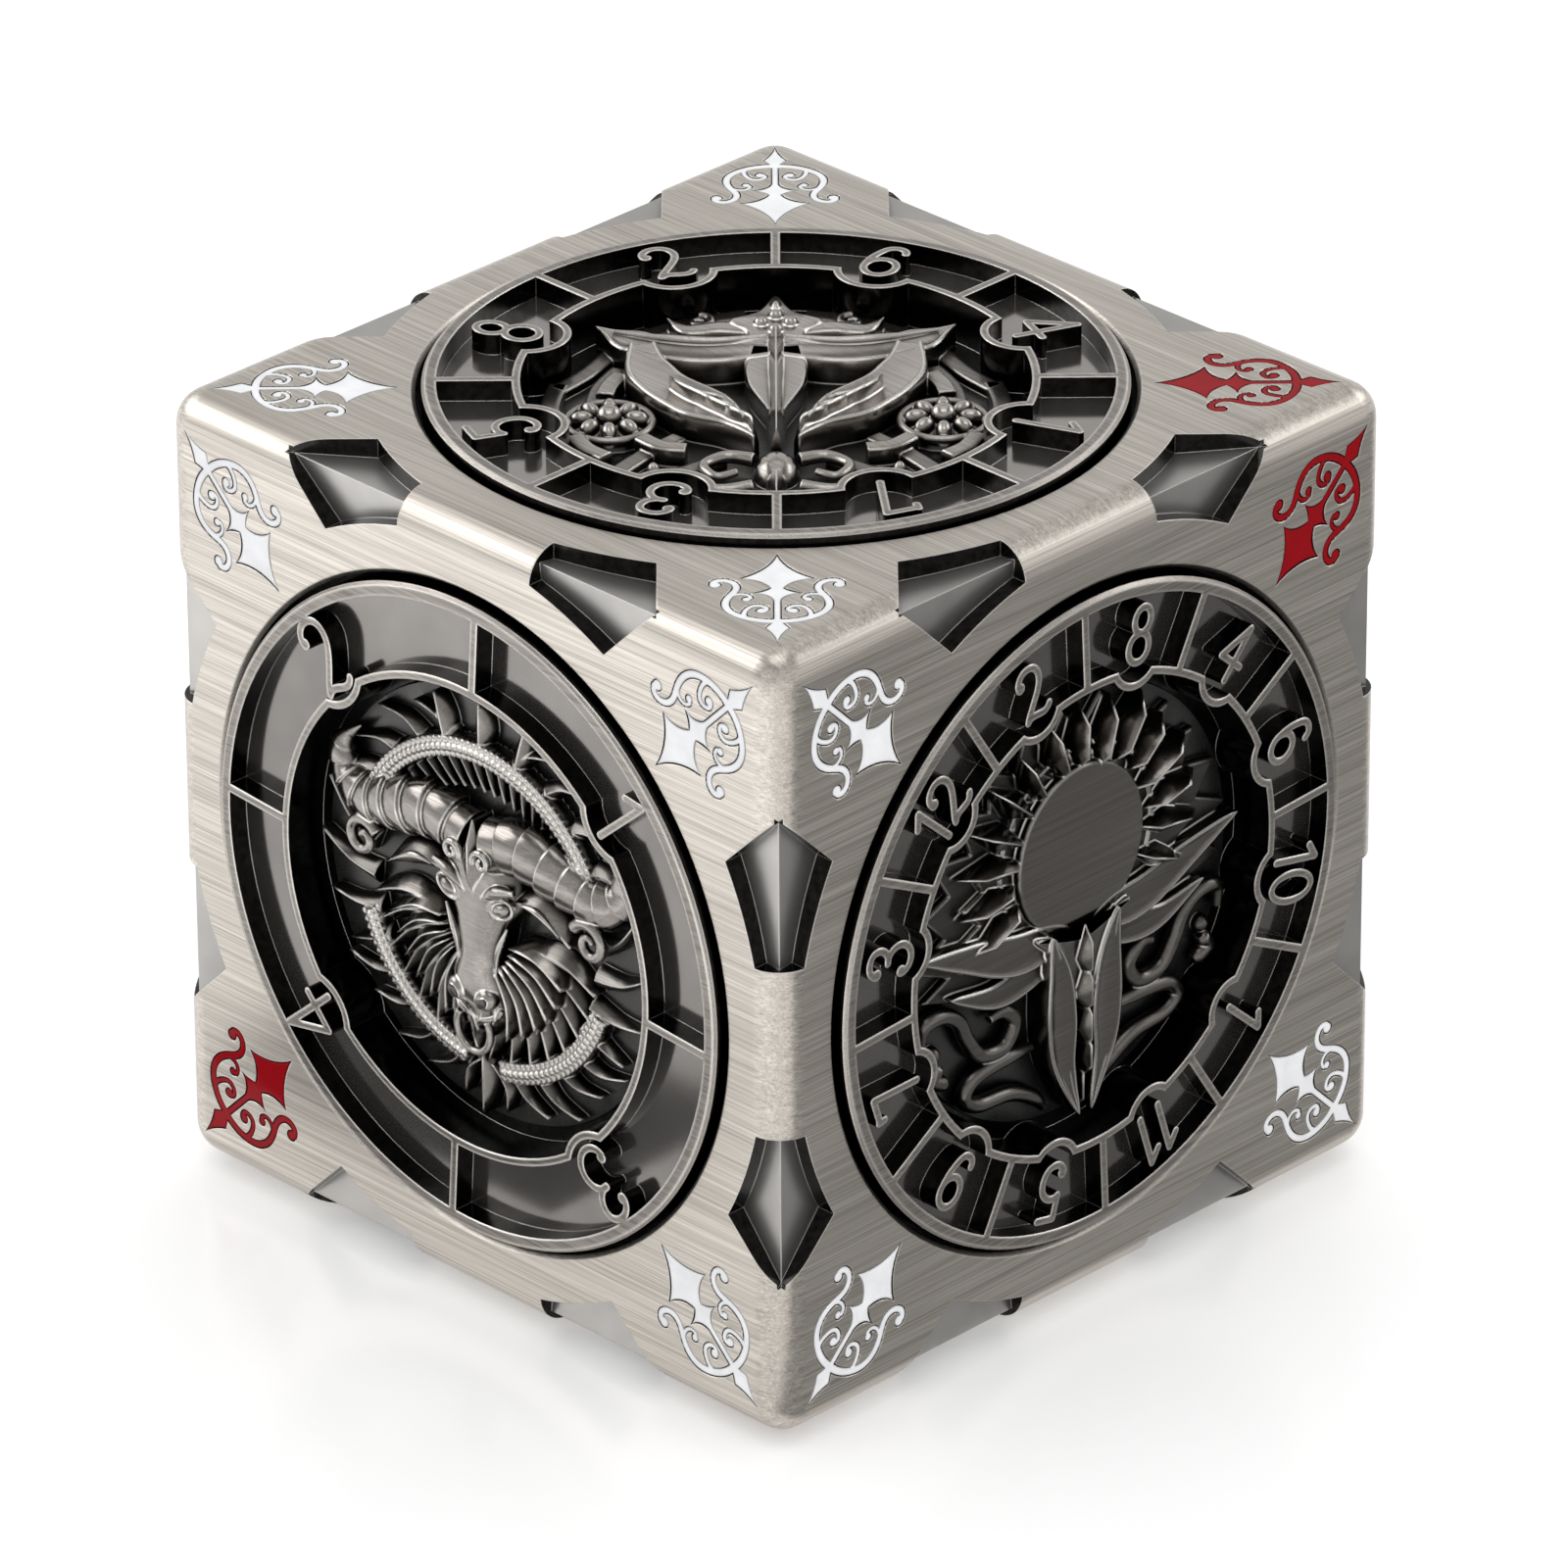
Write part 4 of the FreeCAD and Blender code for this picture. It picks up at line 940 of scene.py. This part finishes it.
def sun_burst(relief):
    """Ten straight rays and ten flames round a domed disc with scrolls between."""
    for i in range(10):
        flame = turn_points([(0, 3.6), (0.55, 5.0), (-0.35, 6.4), (0.15, 7.8)], 36 * i + 18)
        relief.blade(smooth_line(flame, 6), taper(1.3, 0.05), 0.7, ridge=0.15)
        ray(relief, 36 * i, 3.2, 8.9, 1.6, 0.7, 0.35)
        scroll = spiral(0, 0, 0.7, 0.15, 90, 1.1, 18)
        placed = turn_points([(p[0] + 1.55, p[1] + 6.1) for p in scroll], 36 * i)
        relief.tube(at(placed, 0.35), taper(0.2, 0.1), sides=8)
    hoop(relief, 3.7, 0.9, 0.28, 60, sides=10)
    relief.dome(0, 0, 3.5, 3.5, 0.9, z=0.5)
    for i in range(10):
        a = 2 * math.pi * i / 10
        relief.dome(1.9 * math.cos(a), 1.9 * math.sin(a), 0.75, 0.42, 0.25, turn=math.degrees(a), z=1.25)
    relief.dome(0, 0, 0.8, 0.8, 0.3, z=1.35)


def laurel_gem(relief):
    """Large facetted gem inside a laurel ring."""
    for i in range(30):
        for s in (1, -1):
            line = turn_points([(0, 7.1), (s * 0.55, 7.7), (s * 0.75, 8.7 if s > 0 else 6.1)], 12 * i)
            relief.blade(smooth_line(line, 5), leaf_width(0.75), 0.55, ridge=0.2)
    hoop(relief, 7.15, 0.4, 0.24, 84)
    hexagon, table = ([(r * math.sin(math.radians(360 / n * i)), r * math.cos(math.radians(360 / n * i)))
                       for i in range(n)] for r, n in ((4.9, 6), (2.9, 3)))
    relief.plate(hexagon, 0.6, bevel=0.35, steps=1)
    relief.plate(table, 1.25, bevel=0.5, steps=1)
    for i in range(6):
        relief.tube([hexagon[i] + (0.62,), table[i // 2] + (0.9,)], 0.1, sides=6)
    for i in range(12):
        x, y = turn_points([(0, 5.7)], 30 * i)[0]
        relief.dome(x, y, 0.32, 0.32, 0.5)


# each face's relief: what draws it, the radius of its base disc, the brightness of its worn metal, which on
# the top, front and right faces is painted light, lighter or darker to match how the light falls there
MEDALLIONS = {"top": (winged_crest, 8.95, 0.5), "front": (horned_beast, 9.5, 0.34),
              "right": (crystal_crown, 9.4, 0.22), "back": (laurel_gem, 9.6, 0.42),
              "left": (compass_star, 9.1, 0.42), "bottom": (sun_burst, 9.2, 0.42)}


# ---------------------------------------------------------------- studio
# cards that stand in for softboxes, and for the dark side of the room, seen only in reflections: centre, the
# way it faces, width and height, in metres, and strength; the three that lie on the floor are painted
# reflections of the floor
CARDS = (
    ("left_glow", (-0.42, -0.22, 0.30), (0.42, 0.22, -0.28), 0.46, 0.30, 3.2),
    # a brighter patch of floor, seen only in reflections: painted reflection
    ("floor_glow", (-0.03, -0.085, 0.0004), (0, 0, 1), 0.16, 0.06, 1.7),
    ("right_glow", (0.16, 0.42, 0.30), (-0.16, -0.42, -0.28), 0.30, 0.16, 3.0),
    ("top_glow", (0.10, -0.10, 0.50), (-0.1, 0.1, -0.48), 0.30, 0.22, 2.2),
    # dimmer patches of floor, seen only in reflections: painted reflections; dark_front is a painted shadow,
    # the shaded floor at the front face's foot
    ("dark_right", (0.2178, 0.18, 0.0004), (0, 0, 1), 0.4, 0.4, 0.36),
    ("dark_front", (-0.0125, -0.029, 0.0005), (0, 0, 1), 0.020, 0.012, 0.16),
)


def glowing(name, color, roughness, specular, strength):
    """Material with a light of its own, clear when seen from behind."""
    n = Nodes(name)
    n.finish(color=color, roughness=roughness, specular=specular)
    n.shader.inputs["Emission Color"].default_value = (1, 1, 1, 1)
    n.shader.inputs["Emission Strength"].default_value = strength
    behind = n.add("ShaderNodeNewGeometry").outputs["Backfacing"]
    clear = n.add("ShaderNodeBsdfTransparent").outputs["BSDF"]
    either = n.add("ShaderNodeMixShader", {0: behind, 1: n.shader.outputs["BSDF"], 2: clear})
    n.tree.links.new(either.outputs["Shader"], n.tree.nodes["Material Output"].inputs["Surface"])
    return n.material


def sheet(name, width, height, material, z=0.0):
    """A flat rectangle that faces its own +Z; metres."""
    mesh = bpy.data.meshes.new(name)
    w, h = width / 2, height / 2
    mesh.from_pydata([(-w, -h, z), (w, -h, z), (w, h, z), (-w, h, z)], [], [(0, 1, 2, 3)])
    mesh.materials.append(material)
    return add_object(name, mesh)


def studio_floor():
    """White floor a hair below the cube, clear from below so that the underside can be seen."""
    white = glowing("floor_white", (0.9, 0.9, 0.9, 1), 0.2, 0.4, FLOOR_GLOW)
    sheet("floor", 6.0, 6.0, white, z=-FLOOR_LOW * MM)


def area_light(name, place, target, size, power):
    """A square lamp that faces a point."""
    light = bpy.data.lights.new(name, "AREA")
    light.energy = power
    light.size = size
    obj = add_object(name, light)
    obj.location = place
    obj.rotation_euler = (Vector(target) - Vector(place)).to_track_quat("-Z", "Y").to_euler()


def card(name, centre, facing, width, height, strength):
    """A studio card that shows only in reflections and only from its front."""
    obj = sheet(name, width, height, glowing(name, (0, 0, 0, 1), 0.5, 0.0, strength))
    obj.location = centre
    obj.rotation_euler = Vector(facing).to_track_quat("Z", "Y").to_euler()
    obj.visible_camera = False
    obj.visible_diffuse = False
    obj.visible_shadow = False


def studio():
    """White room: even light on the floor, and in reflections a sky that grows dimmer overhead."""
    scene = bpy.context.scene
    world = bpy.data.worlds.new("studio")
    world.use_nodes = True
    tree = world.node_tree
    spot = tree.nodes.new("ShaderNodeTexCoord")
    parts = tree.nodes.new("ShaderNodeSeparateXYZ")
    ramp = tree.nodes.new("ShaderNodeMapRange")
    ramp.interpolation_type = "SMOOTHSTEP"
    for key, value in (("From Min", 0.5), ("From Max", 0.95), ("To Min", SKY_LOW), ("To Max", SKY_HIGH)):
        ramp.inputs[key].default_value = value
    path = tree.nodes.new("ShaderNodeLightPath")
    choice = tree.nodes.new("ShaderNodeMix")
    choice.inputs["A"].default_value = SKY_ON_FLOOR
    tree.links.new(spot.outputs["Generated"], parts.inputs["Vector"])
    tree.links.new(parts.outputs["Z"], ramp.inputs["Value"])
    tree.links.new(path.outputs["Is Glossy Ray"], choice.inputs["Factor"])
    tree.links.new(ramp.outputs["Result"], choice.inputs["B"])
    sky = tree.nodes["Background"]
    sky.inputs["Color"].default_value = (1, 1, 1, 1)
    tree.links.new(choice.outputs["Result"], sky.inputs["Strength"])
    scene.world = world
    scene.view_settings.view_transform = "Standard"
    studio_floor()
    area_light("overhead", (-0.05, 0.05, 0.6), (0, 0, 0.018), 0.6, 0.8)
    for name, centre, facing, width, height, strength in CARDS:
        card(name, centre, facing, width, height, strength)


def camera():
    """A long lens near one corner's diagonal, as in a product photo."""
    scene = bpy.context.scene
    azimuth, elevation, roll = (math.radians(angle) for angle in (AZIMUTH, ELEVATION, ROLL))
    back = Vector((math.sin(azimuth) * math.cos(elevation), -math.cos(azimuth) * math.cos(elevation),
                   math.sin(elevation)))
    right = (-back).cross(Vector((0, 0, 1))).normalized()
    up = right.cross(-back)
    right_rolled = right * math.cos(roll) + up * math.sin(roll)
    up_rolled = up * math.cos(roll) - right * math.sin(roll)
    place = Vector((0, 0, CENTRE_Z * MM)) + back * DISTANCE * HALF * MM
    data = bpy.data.cameras.new("camera")
    data.sensor_width = SENSOR
    data.lens = LENS
    data.shift_x = SHIFT_X
    data.shift_y = SHIFT_Y
    data.clip_start = 0.01
    data.clip_end = 20
    turn = Matrix((right_rolled, up_rolled, back)).transposed().to_4x4()
    obj = add_object("camera", data)
    obj.matrix_world = Matrix.Translation(place) @ turn
    scene.camera = obj


# ---------------------------------------------------------------- the scene
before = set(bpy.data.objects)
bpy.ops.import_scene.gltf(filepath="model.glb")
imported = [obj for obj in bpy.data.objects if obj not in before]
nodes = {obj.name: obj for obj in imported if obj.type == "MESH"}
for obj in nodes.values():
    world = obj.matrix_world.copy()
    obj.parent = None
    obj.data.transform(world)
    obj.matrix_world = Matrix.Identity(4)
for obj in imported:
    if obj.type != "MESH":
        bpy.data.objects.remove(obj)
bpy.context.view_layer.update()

brushed = brushed_nickel()
notch_floor = floor_metal("notch_floor", (0.50, 0.485, 0.465, 1), 0.32)
wall = wall_metal()
assign(nodes["casing"], [brushed, notch_floor, wall], casing_part)
for side_name in FACES:
    # each seen dial gets its own lighter or darker copy of the same materials: painted light
    rim_shade, shade = DIAL_PAINTED_LIGHT.get(side_name, HIDDEN_SHADES)
    dial_top = dial_top_metal(side_name, rim_shade)
    warm = (shade, shade * 0.94, shade * 0.89, 1)
    sector_floor = floor_metal("sector_floor_" + side_name, warm, 0.12)
    assign(nodes["dial_" + side_name], [dial_top, sector_floor, wall], dial_part(side_name))

plain = {
    "enamel_white": enamel("white_enamel", (0.96, 0.965, 0.98, 1), (0.34, 0.34, 0.35, 1)),
    "enamel_red": enamel("red_enamel", (0.30, 0.0015, 0.006, 1), (0.06, 0.0004, 0.0015, 1)),
    "plate_screws": machined("screw_steel", (0.5, 0.5, 0.51, 1), 0.35),
    "axle_screws": machined("axle_screw_steel", (0.5, 0.5, 0.51, 1), 0.35),
    "bearing_plate": machined("plate_metal", (0.66, 0.66, 0.67, 1), 0.3),
    "inner_ring": machined("bearing_steel", (0.8, 0.8, 0.81, 1), 0.12),
    "shields": machined("shield_steel", (0.68, 0.68, 0.69, 1), 0.25),
    "cage": machined("cage_brass", (0.72, 0.56, 0.28, 1), 0.3),
}
plain["outer_ring"] = plain["inner_ring"]
plain["balls"] = plain["inner_ring"]
for node_name, node in nodes.items():
    for key, material in plain.items():
        if node_name == key or node_name.startswith(key + "_"):
            assign(node, [material], lambda polygon: 0)
    sharpen(node)

medal_floor = medal_floor_metal()
for side_name, (draw, base_radius, bright) in MEDALLIONS.items():
    relief = Relief()
    relief.base(base_radius)
    draw(relief)
    relief.finish("relief_" + side_name, side_name, [relief_metal(side_name, bright), medal_floor])

studio()
camera()
